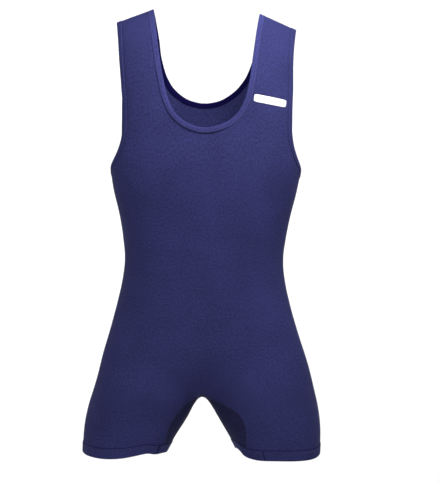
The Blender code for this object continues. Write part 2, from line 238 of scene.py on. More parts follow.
# How far each hem hangs below or above its level line: degrees round the leg, from
# the outside through the front, and the rise in millimetres
HEM_WAVES = {
    Side.LEFT: (
        (-180, 4.5), (-120, -1.0), (-60, -2.0), (0, 0.0), (40, -4.5), (90, -3.5),
        (115, -3.0), (130, 1.0), (140, 7.5), (151, 9.5), (165, 7.0), (180, 4.5),
    ),
    Side.RIGHT: (
        (-180, 2.0), (-120, -1.5), (-60, -1.0), (0, -1.0), (40, -4.0), (69, -4.5),
        (90, -1.5), (102, 2.0), (115, 5.0), (127, 2.5), (140, 2.5), (155, 1.0),
        (180, 2.0),
    ),
}

# Soft folds of the stretched knit, each a shallow wave under a smooth hump.
# Face, x and height of its middle, its tilt from level in degrees, its wave
# length, its reach across and along the fold, and its depth, in millimetres
FOLDS = (
    (Face.FRONT, 105, -300, 38, 34, 26, 60, 0.25),
    (Face.FRONT, -112, -292, -42, 30, 24, 56, 0.25),
    (Face.FRONT, 62, -610, 28, 26, 22, 46, 0.25),
    (Face.FRONT, -66, -606, -30, 28, 24, 50, 0.25),
    (Face.FRONT, 20, -420, 6, 40, 30, 90, 0.35),
    (Face.FRONT, -40, -395, -9, 44, 30, 80, 0.35),
    (Face.BACK, 40, -425, 8, 34, 34, 95, 1.00),
    (Face.BACK, -55, -398, -10, 38, 30, 80, 0.90),
    (Face.BACK, 84, -600, 24, 30, 26, 60, 0.90),
    (Face.BACK, -80, -606, -27, 32, 26, 56, 0.90),
    (Face.BACK, 110, -285, 40, 34, 26, 60, 0.70),
    (Face.BACK, -106, -290, -37, 34, 26, 64, 0.70),
)


@dataclass(frozen=True)
class SuitForm:
    """The smooth middle surface that every piece lies on, and the sizes they share.

    Down the seat the body section turns into two leg sections. Above the chest
    line the section is drawn over the shoulders as an arch of even length.
    """

    chest_line: float = -255 * MM
    rise_line: float = -540 * MM
    crotch: float = -642 * MM
    hem: float = -735 * MM
    strap_inner: float = 89.5 * MM
    strap_outer: float = 152 * MM
    strap_slope: float = math.radians(20.3)
    arch_length: float = 300 * MM
    arch_power: float = 2.3
    leg_power: float = 2.1
    leg_ease: int = 5
    leg_spread: float = 0.515
    crotch_round: float = 24 * MM
    arch_narrowing: float = 6
    seat_edge: float = 0.3
    seat_blend: float = 0.5
    seat_power: float = 2.8
    step: float = 1e-4
    height_step: float = 0.5 * MM
    slow_pace: float = 0.3
    still: float = 1e-12
    fold_edge: float = 30 * MM
    left_lean: float = 0.060
    sway_reach: float = 130 * MM
    twist_reach: float = 80 * MM
    leg_middle: float = 126 * MM
    hem_wave_top: float = -670 * MM
    band_line: float = -718 * MM
    band_tuck: float = 4 * MM
    binding_width: float = 9.5 * MM
    cloth_wall: float = 1.0 * MM

    @property
    def seat_depth(self) -> float:
        """Height from the top of the rise down to the crotch."""
        return self.rise_line - self.crotch

    @property
    def rise_level(self) -> float:
        """Level of the top of the rise."""
        return self.rise_line - self.chest_line

    @property
    def crotch_level(self) -> float:
        """Level of the crotch, a quarter turn round the seat below the rise."""
        return self.rise_level - self.seat_depth * math.pi / 2

    def sizes(self, height: Array) -> list[Array]:
        """Sizes of the body section, each a smooth curve through its column of the table.

        Args:
            height: Heights to read.

        Returns:
            Half width, depth to the front, depth to the back, and power.
        """
        rows = np.array(SECTIONS)
        read = [smooth_curve(rows[:, 0], column, height / MM) for column in rows.T[1:]]
        return [size * MM for size in read[:3]] + read[3:]

    def leg_angle(self, turn: Array) -> Array:
        """Angle round the leg, which slows at the inner leg by a power of the turn."""
        return math.pi * (self.leg_ease * turn - turn ** self.leg_ease) / (self.leg_ease - 1)

    def leg_turn(self, angle: Array) -> Array:
        """Turn that gives an angle round the leg, from 0 to half a turn."""
        turns = np.linspace(0, 1, SAMPLES)
        return np.interp(angle, self.leg_angle(turns), turns)

    def seat_angle(self, level: Array) -> Array:
        """Way round the seat: 0 at the top of the rise, a quarter turn below it."""
        return np.clip((self.rise_level - level) / self.seat_depth, 0, math.pi / 2)

    def seat_fall(self, level: Array) -> Array:
        """Share of the seat's depth fallen at a level, by a squarish quarter turn."""
        return -oval(self.seat_angle(level), 1, 1, self.seat_power)[1]

    def leg_drop(self, level: Array) -> Array:
        """Way down the leg from the crotch."""
        return np.maximum(self.crotch_level - level, 0)

    def height(self, level: Array) -> Array:
        """Height of a level. It stands still at the crotch.

        Down the torso it falls as the level does, down the seat by the squarish
        quarter turn, and down the leg by the long side of a right triangle whose
        short side is the crotch's rounding, less that side.

        Args:
            level: Levels.

        Returns:
            Heights, without the arch of the strap.
        """
        torso = self.chest_line + np.clip(level, self.rise_level, 0)
        leg = self.crotch_round - np.hypot(self.leg_drop(level), self.crotch_round)
        return torso - self.seat_depth * self.seat_fall(level) + leg

    def level(self, height: Array) -> Array:
        """Level of a height under the chest line, the height's formula turned round.

        Args:
            height: Heights.

        Returns:
            Levels.
        """
        torso = np.maximum(height, self.rise_line) - self.chest_line
        seat = oval_angle((self.rise_line - height) / self.seat_depth, self.seat_power)
        leg = np.maximum(self.crotch - height, 0) + self.crotch_round
        return torso - self.seat_depth * seat - np.sqrt(leg ** 2 - self.crotch_round ** 2)

    def lowered(self, levels: Array) -> Array:
        """Levels of one more row down the leg, tucked into the leg band."""
        return self.level(self.height(levels) - self.band_tuck)

    def strap_top(self, x: Array) -> Array:
        """Height of the sloping shoulder line at a half width."""
        middle = (self.strap_inner + self.strap_outer) / 2
        return (middle - x) * math.tan(self.strap_slope)

    def torso_share(self, turn: Array, level: Array) -> Array:
        """How much of the body section is left on the way down the seat.

        It is one less the fall to a power, all to another power. At the centre
        that is a squarish quarter turn. Round the outside both powers are 2,
        which makes it a soft step.

        Args:
            turn: Turns.
            level: Levels.

        Returns:
            Shares, from 1 at the rise to 0 at the crotch.
        """
        fall = np.clip(self.seat_fall(level), 0, 1)
        middle = eased((np.abs(turn) - self.seat_edge) / self.seat_blend)
        fall_power = 2 + (self.seat_power - 2) * middle
        return (1 - fall ** fall_power) ** (2 / (2 * self.seat_power) ** middle)

    def inner_leg(self, angle: Array, level: Array) -> Array:
        """Half the gap between the legs, with its round arch at the inner leg.

        It is a share of the long side of a right triangle less its short side,
        which shrinks from the crotch's rounding to nothing at the inner leg.

        Args:
            angle: Angles round the leg.
            level: Levels.

        Returns:
            Half gaps.
        """
        inner_part = ((1 - np.cos(angle)) / 2) ** self.arch_narrowing
        soft = self.crotch_round * (1 - inner_part)
        return self.leg_spread * (np.hypot(self.leg_drop(level), soft) - soft)

    def plain(self, turn: Array, level: Array) -> Array:
        """Point of the surface before its soft folds, on the wearer's left.

        It is a mix of a body section and a leg section, by the share of the
        torso. Above the chest line the depth shrinks and the height rises by the
        two sides of a squarish quarter turn.

        Args:
            turn: Turns.
            level: Levels.

        Returns:
            Points, with X, Y and Z on the last axis.
        """
        turn, level = np.broadcast_arrays(turn, level)
        height = self.height(level)
        side, front, back, power = self.sizes(height)
        depth = np.where(turn >= 0, front, back)
        torso_x, torso_y = oval(turn * math.pi / 2, side, depth, power)
        angle = self.leg_angle(turn)
        inner = self.inner_leg(angle, level)
        leg_x, leg_y = oval(angle, (side - inner) / 2, depth, self.leg_power)
        torso = self.torso_share(turn, level)
        x = torso * torso_x + (1 - torso) * (leg_x + (side + inner) / 2)
        y = torso * torso_y + (1 - torso) * leg_y
        lift = np.maximum(level, 0) / self.arch_length * math.pi / 2
        rise, reach = oval(lift, 1, 1, self.arch_power)
        z = height - (self.strap_top(x) - self.chest_line) * reach
        return np.stack([x, y * rise, z], axis=-1)

    def folds(self, points: Array) -> Array:
        """Height of the soft folds, each a cosine across it under a bell both ways.

        Args:
            points: Points of the surface.

        Returns:
            Heights off the surface.
        """
        relief = np.zeros(points.shape[:-1])
        for face, x, height, tilt, wave, across, along, depth in FOLDS:
            slant = math.radians(tilt)
            right = points[..., 0] - x * MM
            up = points[..., 2] - height * MM
            run = (right * math.cos(slant) + up * math.sin(slant)) / (along * MM)
            over = up * math.cos(slant) - right * math.sin(slant)
            bell = np.exp(-run ** 2 - (over / (across * MM)) ** 2)
            facing = eased(0.5 - face.value * points[..., 1] / self.fold_edge)
            relief += depth * MM * bell * facing * np.cos(2 * math.pi * over / (wave * MM))
        return relief

    def swayed(self, points: Array) -> Array:
        """Shift to the wearer's left, read from the table of heights and the drifts.

        The sway grows softly from the centre to the sides and turns over at the
        back. Each drift is a bell of the distance from its middle.

        Args:
            points: Points of the surface.

        Returns:
            Shifts.
        """
        x, y, z = np.moveaxis(points, -1, 0)
        heights, left, right = np.array(SWAY).T
        sway = np.where(
            x > 0, smooth_curve(heights, left, z / MM), smooth_curve(heights, right, z / MM))
        sway = sway * eased(np.abs(x) / self.sway_reach) * (1 - 2 * eased(y / self.twist_reach))
        for row in np.array(DRIFTS):
            away = (points / MM - row[:3]) / row[3:6]
            sway = sway + row[6] * np.exp(-np.sum(away ** 2, axis=-1))
        return sway * MM

    def hem_rise(self, points: Array) -> Array:
        """Rise of the hem's waves, from the table of angles, that fades out above it.

        Args:
            points: Points of the surface.

        Returns:
            Rises.
        """
        x, y, z = np.moveaxis(points, -1, 0)
        angle = np.degrees(np.arctan2(-y, np.abs(x) - self.leg_middle))
        rise = np.zeros_like(z)
        for side in Side:
            knots, values = np.array(HEM_WAVES[side]).T
            rise = np.where(x * side.value > 0, smooth_curve(knots, values, angle), rise)
        return rise * MM * eased((self.hem_wave_top - z) / (self.hem_wave_top - self.hem))

    def settled(self, points: Array) -> Array:
        """Points after the suit has settled: swayed, one strap lower, the hems wavy.

        The wearer's left strap is lower by a share of X that grows softly above
        the chest line.

        Args:
            points: Points of the surface.

        Returns:
            Moved points.
        """
        x, y, z = np.moveaxis(points, -1, 0)
        lean = self.left_lean * np.maximum(x, 0) * eased(1 - z / self.chest_line)
        return np.stack([x + self.swayed(points), y, z - lean + self.hem_rise(points)], axis=-1)

    def _rise_of(self, surface: Callable[..., Array], turn: Array, level: Array) -> Array:
        """Direction of rising level on a surface.

        It is a step of the level. Where the height stands still with the level,
        round the outside at the crotch, a step of the height takes over.

        Args:
            surface: Gives points at turns and levels.
            turn: Turns.
            level: Levels.

        Returns:
            Unit vectors.
        """
        by_level = surface(turn, level + self.step) - surface(turn, level - self.step)
        height = np.minimum(self.height(level), self.chest_line - self.height_step)
        above, below = self.level(height + self.height_step), self.level(height - self.height_step)
        by_height = surface(turn, above) - surface(turn, below)
        pace = np.linalg.norm(by_level, axis=-1, keepdims=True) / (2 * self.step)
        share = np.where(level[..., None] < 0, eased(pace / self.slow_pace), 1.0)
        return unit(unit(by_level + self.still) * share + unit(by_height) * (1 - share))

    def _normal_of(self, surface: Callable[..., Array], turn: Array, level: Array) -> Array:
        """Outward normal of a surface, the cross product of its two directions.

        Args:
            surface: Gives points at turns and levels.
            turn: Turns.
            level: Levels.

        Returns:
            Unit vectors.
        """
        turn, level = np.broadcast_arrays(turn, level)
        along_turn = surface(turn + self.step, level) - surface(turn - self.step, level)
        return unit(np.cross(self._rise_of(surface, turn, level), along_turn))

    def point(self, turn: Array, level: Array, side: Side = Side.LEFT) -> Array:
        """Point of the surface with its folds, after it has settled.

        Args:
            turn: Turns.
            level: Levels.
            side: Side of the body. The folds differ between the two.

        Returns:
            Points, with X, Y and Z on the last axis.
        """
        points = self.plain(turn, level)
        flip = np.array([side.value, 1, 1])
        out = self._normal_of(self.plain, turn, level) * flip
        points = points * flip
        return self.settled(points + out * self.folds(points)[..., None])

    def normal(self, turn: Array, level: Array, side: Side = Side.LEFT) -> Array:
        """Outward unit normal of the settled surface with its folds."""
        return self._normal_of(partial(self.point, side=side), turn, level) * side.value

    def surface(self, turn: Array, level: Array, side: Side = Side.LEFT) -> tuple[Array, Array]:
        """Points of the settled surface, and its normals there."""
        return self.point(turn, level, side), self.normal(turn, level, side)

    def chest_turn(self, x: Array) -> Array:
        """Turn of the front surface at a half width, on the chest line.

        Args:
            x: Half widths.

        Returns:
            Turns, read from a fine table of the section.
        """
        turns = np.linspace(0, 1, SAMPLES)
        widths = self.plain(turns, np.zeros(SAMPLES))[:, 0]
        return np.interp(x, widths[::-1], turns[::-1])

    def level_at(self, turn: Array, height: Array) -> Array:
        """Level at which the surface reaches a height, on the torso or the strap's arch.

        Args:
            turn: Turns on the chest line.
            height: Heights.

        Returns:
            Levels.
        """
        x = self.plain(turn, np.zeros_like(turn))[..., 0]
        share = (height - self.chest_line) / (self.strap_top(x) - self.chest_line)
        arch = oval_angle(share, self.arch_power) / (math.pi / 2) * self.arch_length
        return np.where(height > self.chest_line, arch, self.level(height))

    def cloth_across(self, turn: Array) -> Array:
        """Way round from the side seam in the cloth as cut, from the chest section.

        Args:
            turn: Turns.

        Returns:
            Ways round, negative at the back.
        """
        turns = np.linspace(-1, 1, 2 * SAMPLES + 1)
        way = way_along(self.plain(turns, np.zeros_like(turns)))
        return np.interp(turn, turns, way - way[SAMPLES])


@dataclass(frozen=True)
class SeamLine:
    """A fine line on the surface: its turns and levels, and its form."""

    form: SuitForm
    turns: Array
    levels: Array

    @classmethod
    def through(
        cls, form: SuitForm, turns: Array, levels: Array, pivot: float, far: float
    ) -> "SeamLine":
        """Fine line through a few places, in even steps of its chord length.

        Args:
            form: The surface.
            turns: Turns of the places.
            levels: Levels of the places.
            pivot: Turn about which the line is its own mirror image at its start.
            far: Level about which it is its own mirror image at its end.

        Returns:
            The line.
        """
        turns = np.concatenate([[2 * pivot - turns[1]], turns, turns[-2:-1]])
        levels = np.concatenate([levels[1:2], levels, [2 * far - levels[-2]]])
        knots = way_along(np.stack([turns * form.arch_length / 2, levels], axis=1))
        at = np.linspace(knots[1], knots[-2], SAMPLES)
        return cls(form, smooth_curve(knots, turns, at), smooth_curve(knots, levels, at))

    @classmethod
    def edge(
        cls, form: SuitForm, face: Face, rows: tuple[tuple[float, float], ...], end: float,
        pivot: float,
    ) -> "SeamLine":
        """Finished edge up to the strap top.

        Args:
            form: The surface.
            face: Front or back.
            rows: Half widths and heights on the way up, in millimetres.
            end: Half width at the strap top.
            pivot: Turn about which the line is its own mirror image at its start.

        Returns:
            The line.
        """
        x, height = np.array(rows).T * MM
        turns = form.chest_turn(np.append(x, end))
        levels = np.append(form.level_at(turns[:-1], height), form.arch_length)
        line = cls.through(form, turns, levels, pivot, form.arch_length)
        return cls(form, face.value * line.turns, line.levels)

    @classmethod
    def neck(cls, form: SuitForm, face: Face) -> "SeamLine":
        """Finished neck edge from the centre up."""
        return cls.edge(form, face, NECK[face], form.strap_inner, 1)

    @classmethod
    def armhole(cls, form: SuitForm, face: Face) -> "SeamLine":
        """Finished armhole edge from the underarm up."""
        return cls.edge(form, face, ARMHOLE[face], form.strap_outer, 0)

    @classmethod
    def gusset(cls, form: SuitForm, face: Face, side: Side) -> "SeamLine":
        """Gusset seam from the crotch centre down to the leg band.

        Its swing round the leg grows over the first three places of the table.

        Args:
            form: The surface.
            face: Front or back.
            side: Which leg.

        Returns:
            The line.
        """
        rows = np.array(GUSSET[face])
        grown = np.minimum(np.arange(1, len(rows) + 1) / 3, 1)
        angles = rows[:, 0] + face.value * GUSSET_SWING[side] * grown
        turns = np.append(1, form.leg_turn(np.radians(angles)))
        levels = form.level(np.append(GUSSET_START[face], rows[:, 1]) * MM)
        line = cls.through(form, turns, levels, 1, levels[-1])
        return cls(form, face.value * line.turns, line.levels)

    @classmethod
    def side_seam(cls, form: SuitForm, low: float, high: float, samples: int) -> "SeamLine":
        """Side seam between two heights, in even steps of height."""
        return cls(form, np.zeros(samples), form.level(np.linspace(low, high, samples)))

    def shifted(self, distance: float, moves: int = 4) -> "SeamLine":
        """The line moved sideways in the surface.

        Args:
            distance: How far, to the line's left seen from outside.
            moves: In how many short moves.

        Returns:
            The moved line.
        """
        line = self
        for _ in range(moves):
            line = line._nudged(distance / moves)
        return line

    def _nudged(self, distance: float) -> "SeamLine":
        """The line moved a short way, by solving the surface's two slopes for the move.

        Args:
            distance: How far.

        Returns:
            The moved line.
        """
        form, turn, level = self.form, self.turns, self.levels
        forward = unit(np.gradient(form.plain(turn, level), axis=0))
        out = form._normal_of(form.plain, turn, level)
        move = np.cross(out, forward) * distance
        step = form.step
        along_turn = (form.plain(turn + step, level) - form.plain(turn - step, level)) / (2 * step)
        along_level = (form.plain(turn, level + step) - form.plain(turn, level - step)) / (2 * step)
        turn_square = np.sum(along_turn ** 2, axis=1)
        level_square = np.sum(along_level ** 2, axis=1)
        shared = np.sum(along_turn * along_level, axis=1)
        turn_part = np.sum(along_turn * move, axis=1)
        level_part = np.sum(along_level * move, axis=1)
        scale = turn_square * level_square - shared * shared
        turned = (level_square * turn_part - shared * level_part) / scale
        lifted = (turn_square * level_part - shared * turn_part) / scale
        return SeamLine(form, turn + turned, level + lifted)

    def stations(self, count: int, crowd: float = 1) -> Array:
        """Even stations along the line, or crowded to its start by a power above 1.

        Args:
            count: How many steps.
            crowd: The power.

        Returns:
            Stations, counted in the line's own samples.
        """
        way = way_along(self.form.plain(self.turns, self.levels))
        at = np.linspace(0, 1, count + 1) ** crowd * way[-1]
        return np.interp(at, way, np.arange(len(way)))

    def read(self, at: Array) -> Place:
        """Turns and levels at stations."""
        samples = np.arange(len(self.turns))
        return np.interp(at, samples, self.turns), np.interp(at, samples, self.levels)


def colour(code: str) -> tuple[float, float, float, float]:
    """Linear colour of an sRGB hex code.

    Args:
        code: Six hex digits.

    Returns:
        Red, green, blue and an alpha of 1.
    """
    parts = np.array([int(code[i:i + 2], 16) for i in (0, 2, 4)]) / 255
    linear = np.where(parts <= 0.04045, parts / 12.92, ((parts + 0.055) / 1.055) ** 2.4)
    return (*map(float, linear), 1.0)


def add_node(
    tree: bpy.types.NodeTree,
    kind: str,
    settings: dict[str, object] | None = None,
    links: dict[str | int, bpy.types.NodeSocket] | None = None,
) -> bpy.types.Node:
    """Add a node with its settings and links.

    Args:
        tree: Tree that takes the node.
        kind: Blender's name of the kind of node.
        settings: Attributes by name, or values of input sockets by "in:" and name.
        links: What each input socket is linked from.

    Returns:
        The node.
    """
    node = tree.nodes.new(kind)
    for name, value in (settings or {}).items():
        if name.startswith("in:"):
            key = name[3:]
            node.inputs[int(key) if key.isdigit() else key].default_value = value
        else:
            setattr(node, name, value)
    for name, source in (links or {}).items():
        tree.links.new(source, node.inputs[name])
    return node


def blank_material(name: str) -> tuple[bpy.types.Material, bpy.types.NodeTree]:
    """New material with an empty node tree.

    Args:
        name: Its name.

    Returns:
        The material and its tree.
    """
    made = bpy.data.materials.new(name)
    made.use_nodes = True
    made.node_tree.nodes.clear()
    return made, made.node_tree


@dataclass(frozen=True)
class KnitFinish:
    """Dyed polyester knit with elastane, close and smooth, stretched over a form.

    It gives the eye an even navy with a soft sheen, faint upright ribs of the
    knit's wales and a fine grain. The wales of the real cloth are about 0.6 mm
    apart and its grain is the light on single loops. Both are too fine for the
    picture, so they are drawn coarser.
    """

    name: str = "knitted_polyester_navy"
    shade: str = "252648"
    light: str = "37396b"
    wale: float = 1.5 * MM
    course: float = 1.9 * MM
    grain: float = 3.0 * MM
    patch: float = 70 * MM
    grain_share: float = 0.75
    shade_range: tuple[float, float] = (0.3, 0.7)
    rib_depth: float = 0.09 * MM
    roughness: float = 0.7
    specular: float = 0.03
    specular_tint: str = "5f64c0"
    sheen: float = 0.02
    sheen_tint: str = "4a50b0"

    def material(self) -> bpy.types.Material:
        """Build the material.

        The ribs are a wave across the cloth's own map, broken by a wave along
        it. The colour runs between two shades by fine and broad noise.

        Returns:
            The material.
        """
        made, tree = blank_material(self.name)
        cut = add_node(tree, "ShaderNodeUVMap", {"uv_map": "cut"}).outputs["UV"]
        ribs, rows = (
            add_node(tree, "ShaderNodeTexWave", {
                "bands_direction": way, "in:Scale": 2 * math.pi / WAVE_RADIANS / width,
            }, {"Vector": cut}).outputs["Fac"]
            for way, width in (("X", self.wale), ("Y", self.course))
        )
        loops = add_node(tree, "ShaderNodeMath", {"operation": "MULTIPLY"}, {0: ribs, 1: rows})
        height = add_node(tree, "ShaderNodeMath", {"operation": "ADD"}, {
            0: ribs, 1: loops.outputs[0]})
        bump = add_node(tree, "ShaderNodeBump", {
            "in:Strength": 0.6, "in:Distance": self.rib_depth,
        }, {"Height": height.outputs[0]})
        place = add_node(tree, "ShaderNodeTexCoord").outputs["Object"]
        shares = []
        for size, rough, share, where in (
            (self.grain, 0.6, self.grain_share, cut),
            (self.patch, 0.5, 1 - self.grain_share, place),
        ):
            noise = add_node(tree, "ShaderNodeTexNoise", {
                "in:Scale": 1 / size, "in:Detail": 2.0, "in:Roughness": rough,
            }, {"Vector": where})
            shares.append(add_node(tree, "ShaderNodeMath", {
                "operation": "MULTIPLY", "in:1": share}, {0: noise.outputs["Fac"]}))
        mixed = add_node(tree, "ShaderNodeMath", {"operation": "ADD"}, {
            0: shares[0].outputs[0], 1: shares[1].outputs[0]})
        shades = add_node(tree, "ShaderNodeValToRGB", {}, {"Fac": mixed.outputs[0]})
        for end, position, code in zip(
            shades.color_ramp.elements, self.shade_range, (self.shade, self.light)
        ):
            end.position, end.color = position, colour(code)
        shader = add_node(tree, "ShaderNodeBsdfPrincipled", {
            "in:Roughness": self.roughness, "in:Specular IOR Level": self.specular,
            "in:Sheen Weight": self.sheen, "in:Sheen Roughness": 0.45,
            "in:Sheen Tint": colour(self.sheen_tint),
            "in:Specular Tint": colour(self.specular_tint),
        }, {"Base Color": shades.outputs["Color"], "Normal": bump.outputs["Normal"]})
        add_node(tree, "ShaderNodeOutputMaterial", {}, {"Surface": shader.outputs["BSDF"]})
        return made


@dataclass(frozen=True)
class ThreadFinish:
    """Twisted polyester sewing thread, dyed to match.

    It gives the eye a slightly brighter, glossier dash than the knit. The ply
    is a fine twist that only shows close to.
    """

    name: str = "sewing_thread_navy"
    shade: str = "353870"
    twist: float = 0.5 * MM
    ply_depth: float = 0.05 * MM

    def material(self) -> bpy.types.Material:
        """Build the material: one colour, with a bump of bands on the thread's map.

        Returns:
            The material.
        """
        made, tree = blank_material(self.name)
        along = add_node(tree, "ShaderNodeUVMap", {"uv_map": "cut"}).outputs["UV"]
        ply = add_node(tree, "ShaderNodeTexWave", {
            "bands_direction": "DIAGONAL", "in:Scale": 2 * math.pi / WAVE_RADIANS / self.twist,
        }, {"Vector": along})
        bump = add_node(tree, "ShaderNodeBump", {
            "in:Strength": 0.5, "in:Distance": self.ply_depth}, {"Height": ply.outputs["Fac"]})
        shader = add_node(tree, "ShaderNodeBsdfPrincipled", {
            "in:Base Color": colour(self.shade), "in:Roughness": 0.45,
            "in:Specular IOR Level": 0.5,
        }, {"Normal": bump.outputs["Normal"]})
        add_node(tree, "ShaderNodeOutputMaterial", {}, {"Surface": shader.outputs["BSDF"]})
        return made


@dataclass(frozen=True)
class PatchFinish:
    """Plain white heat-pressed film, blank, over a knit.

    It gives the eye a flat clean white with a faint print of the cloth below.
    """

    name: str = "pressed_film_white"
    shade: str = "f4f4f6"
    grain: float = 1.6 * MM
    print_depth: float = 0.05 * MM

    def material(self) -> bpy.types.Material:
        """Build the material: white, with a low bump of noise from the knit below.

        Returns:
            The material.
        """
        made, tree = blank_material(self.name)
        cut = add_node(tree, "ShaderNodeUVMap", {"uv_map": "cut"}).outputs["UV"]
        grain = add_node(tree, "ShaderNodeTexNoise", {
            "in:Scale": 1 / self.grain, "in:Detail": 2.0}, {"Vector": cut})
        bump = add_node(tree, "ShaderNodeBump", {
            "in:Strength": 0.3, "in:Distance": self.print_depth}, {"Height": grain.outputs["Fac"]})
        shader = add_node(tree, "ShaderNodeBsdfPrincipled", {
            "in:Base Color": colour(self.shade), "in:Roughness": 0.5,
        }, {"Normal": bump.outputs["Normal"]})
        add_node(tree, "ShaderNodeOutputMaterial", {}, {"Surface": shader.outputs["BSDF"]})
        return made


@dataclass(frozen=True)
class Finishes:
    """The suit's materials, each built once."""

    knit: bpy.types.Material
    painted_highlight_trim: bpy.types.Material
    dark_ply_and_seam_shade: bpy.types.Material
    gusset: bpy.types.Material
    thread: bpy.types.Material
    dark_thread: bpy.types.Material
    patch: bpy.types.Material

    @classmethod
    def build(cls) -> "Finishes":
        """Build every finish of the suit.

        The neck binding is a little lighter and closer than the panels, partly a painted
        highlight for the light that its raised rim catches. Its inner ply and the thread on
        the hems and the gusset are darker. The gusset is darker too, a painted shade for the
        inner thighs that face down and away from the light, and the inner ply's dark finish
        also paints the shade in the leg bands' seam and joint grooves.

        Returns:
            The finishes.
        """
        # Neck binding's outer ply: its lighter shades are partly painted highlight, the light its
        # raised rim catches
        painted_highlight_trim = KnitFinish("binding_knit_navy", "29294d", "40427a", 1.2 * MM)
        # Dark finish: the neck binding's darker inner ply, and painted shade in the leg bands' seam
        # and joint grooves
        inner = KnitFinish("binding_inner_ply_dark_and_seam_shade", "0e0b37", "12103e", 1.2 * MM)
        # Gusset: its darker shades are painted shade, for the inner thighs that face down and away
        # from the light
        gusset = KnitFinish("gusset_knit_navy", "1e1e37", "2c2c50", roughness=0.75)
        dark_thread = ThreadFinish("sewing_thread_dark_navy", "131433")
        finishes = (
            KnitFinish(), painted_highlight_trim, inner, gusset, ThreadFinish(), dark_thread, PatchFinish())
        return cls(*(finish.material() for finish in finishes))


@dataclass
class MeshSheets:
    """Grids of points that make up one mesh, with the cloth's own map in metres."""

    name: str
    points: list[Array] = field(default_factory=list)
    faces: list[Array] = field(default_factory=list)
    maps: list[Array] = field(default_factory=list)
    finishes: list[Array] = field(default_factory=list)
    count: int = 0
    weld: float = 0.005 * MM

    def add(
        self, points: Array, cut: Array, turned: bool = False, finish: int | Array = 0
    ) -> None:
        """Add a grid of points, one quad between each four neighbours.

        Args:
            points: Rows by columns by 3.
            cut: Rows by columns by 2, the place of each point in the flat cloth.
            turned: Whether the faces are turned over.
            finish: Number of the faces' material, one for each face or for all.
        """
        rows, columns = points.shape[:2]
        number = np.arange(rows * columns).reshape(rows, columns) + self.count
        corners = [number[:-1, :-1], number[:-1, 1:], number[1:, 1:], number[1:, :-1]]
        quads = np.stack(corners[::-1] if turned else corners, axis=-1).reshape(-1, 4)
        self.points.append(points.reshape(-1, 3))
        self.maps.append(cut.reshape(-1, 2))
        self.faces.append(quads)
        self.finishes.append(
            np.broadcast_to(finish, (rows - 1, columns - 1)).reshape(-1).astype(np.int32))
        self.count += rows * columns

    def build(self, *materials: bpy.types.Material, solid: bool = False) -> bpy.types.Object:
        """Make the object, with the points that are in the same place as one.

        Args:
            materials: Its finishes, in the order of their numbers.
            solid: Whether it is a closed body, so that open ends are filled and
                faces turned outwards.

        Returns:
            The object, at the origin, smooth, riding on the root body.
        """
        faces = np.concatenate(self.faces)
        cut = np.concatenate(self.maps)
        mesh = bpy.data.meshes.new(self.name)
        mesh.from_pydata(np.concatenate(self.points).tolist(), [], faces.tolist())
        layer = mesh.uv_layers.new(name="cut")
        layer.data.foreach_set("uv", cut[faces.ravel()].astype(np.float32).ravel())
        mesh.polygons.foreach_set("use_smooth", np.ones(len(faces), dtype=bool))
        for material in materials:
            mesh.materials.append(material)
        mesh.polygons.foreach_set("material_index", np.concatenate(self.finishes))
        edit = bmesh.new()
        edit.from_mesh(mesh)
        bmesh.ops.remove_doubles(edit, verts=edit.verts, dist=self.weld)
        if solid:
            bmesh.ops.holes_fill(edit, edges=edit.edges, sides=0)
            bmesh.ops.recalc_face_normals(edit, faces=edit.faces)
        edit.to_mesh(mesh)
        edit.free()
        piece = bpy.data.objects.new(self.name, mesh)
        bpy.context.scene.collection.objects.link(piece)
        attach(piece, "root")
        return piece

    def build_cloth(self, material: bpy.types.Material, wall: float) -> bpy.types.Object:
        """Make the object and give it an even wall, half to each side.

        Args:
            material: Its finish.
            wall: Thickness of the wall.

        Returns:
            The object.
        """
        piece = self.build(material)
        shell = piece.modifiers.new("wall", "SOLIDIFY")
        shell.thickness = wall
        shell.offset = 0
        return piece


@dataclass(frozen=True)
class SewnLine:
    """Points of a seam or edge on one side of the body, to measure from."""

    points: Array

    @classmethod
    def on(cls, line: SeamLine, side: Side) -> "SewnLine":
        """Every other sample of a line, as points on one side."""
        return cls(line.form.point(line.turns[::2], line.levels[::2], side))

    def measure(self, points: Array) -> tuple[Array, Array]:
        """Distance from the line and the way along it, by the nearest of its points.

        Args:
            points: Any number of points.

        Returns:
            Distances, and the ways along the line of the nearest points.
        """
        flat = points.reshape(-1, 3)
        squares = (flat ** 2).sum(1)[:, None] + (self.points ** 2).sum(1)[None, :]
        squares = squares - 2 * flat @ self.points.T
        nearest = squares.argmin(axis=1)
        distance = np.sqrt(np.maximum(squares[np.arange(len(flat)), nearest], 0))
        way = way_along(self.points)[nearest]
        return distance.reshape(points.shape[:-1]), way.reshape(points.shape[:-1])


@dataclass(frozen=True)
class SeamRelief:
    """Groove that a sewn seam pulls into the cloth, and puckers beside a binding."""

    groove: float = 0.4 * MM
    groove_reach: float = 1.4 * MM
    pucker: float = 0.14 * MM
    pucker_reach: float = 8 * MM
    pucker_wave: float = 9 * MM
    phase_wave: float = 31 * MM
    phase_swing: float = 2.2

    def dip(self, points: Array, line: SewnLine) -> Array:
        """Groove along a seam, a bell of the distance from it."""
        distance, _ = line.measure(points)
        return -self.groove * np.exp(-(distance / self.groove_reach) ** 2)

    def ripple(self, points: Array, line: SewnLine, inset: float) -> Array:
        """Puckers beside a binding, and the groove along its inner edge.

        The puckers are a wave along the binding, with a slower wave in its
        phase, that fades away from the binding.

        Args:
            points: Points of the cloth.
            line: The binding's finished edge.
            inset: The binding's width.

        Returns:
            Heights off the cloth's own surface.
        """
        distance, way = line.measure(points)
        past = np.maximum(distance - inset, 0)
        phase = self.phase_swing * np.sin(way / self.phase_wave)
        wave = np.cos(2 * math.pi * way / self.pucker_wave + phase)
        beside = np.exp(-((distance - inset) / self.groove_reach) ** 2)
        return self.pucker * wave * np.exp(-past / self.pucker_reach) - self.groove * beside


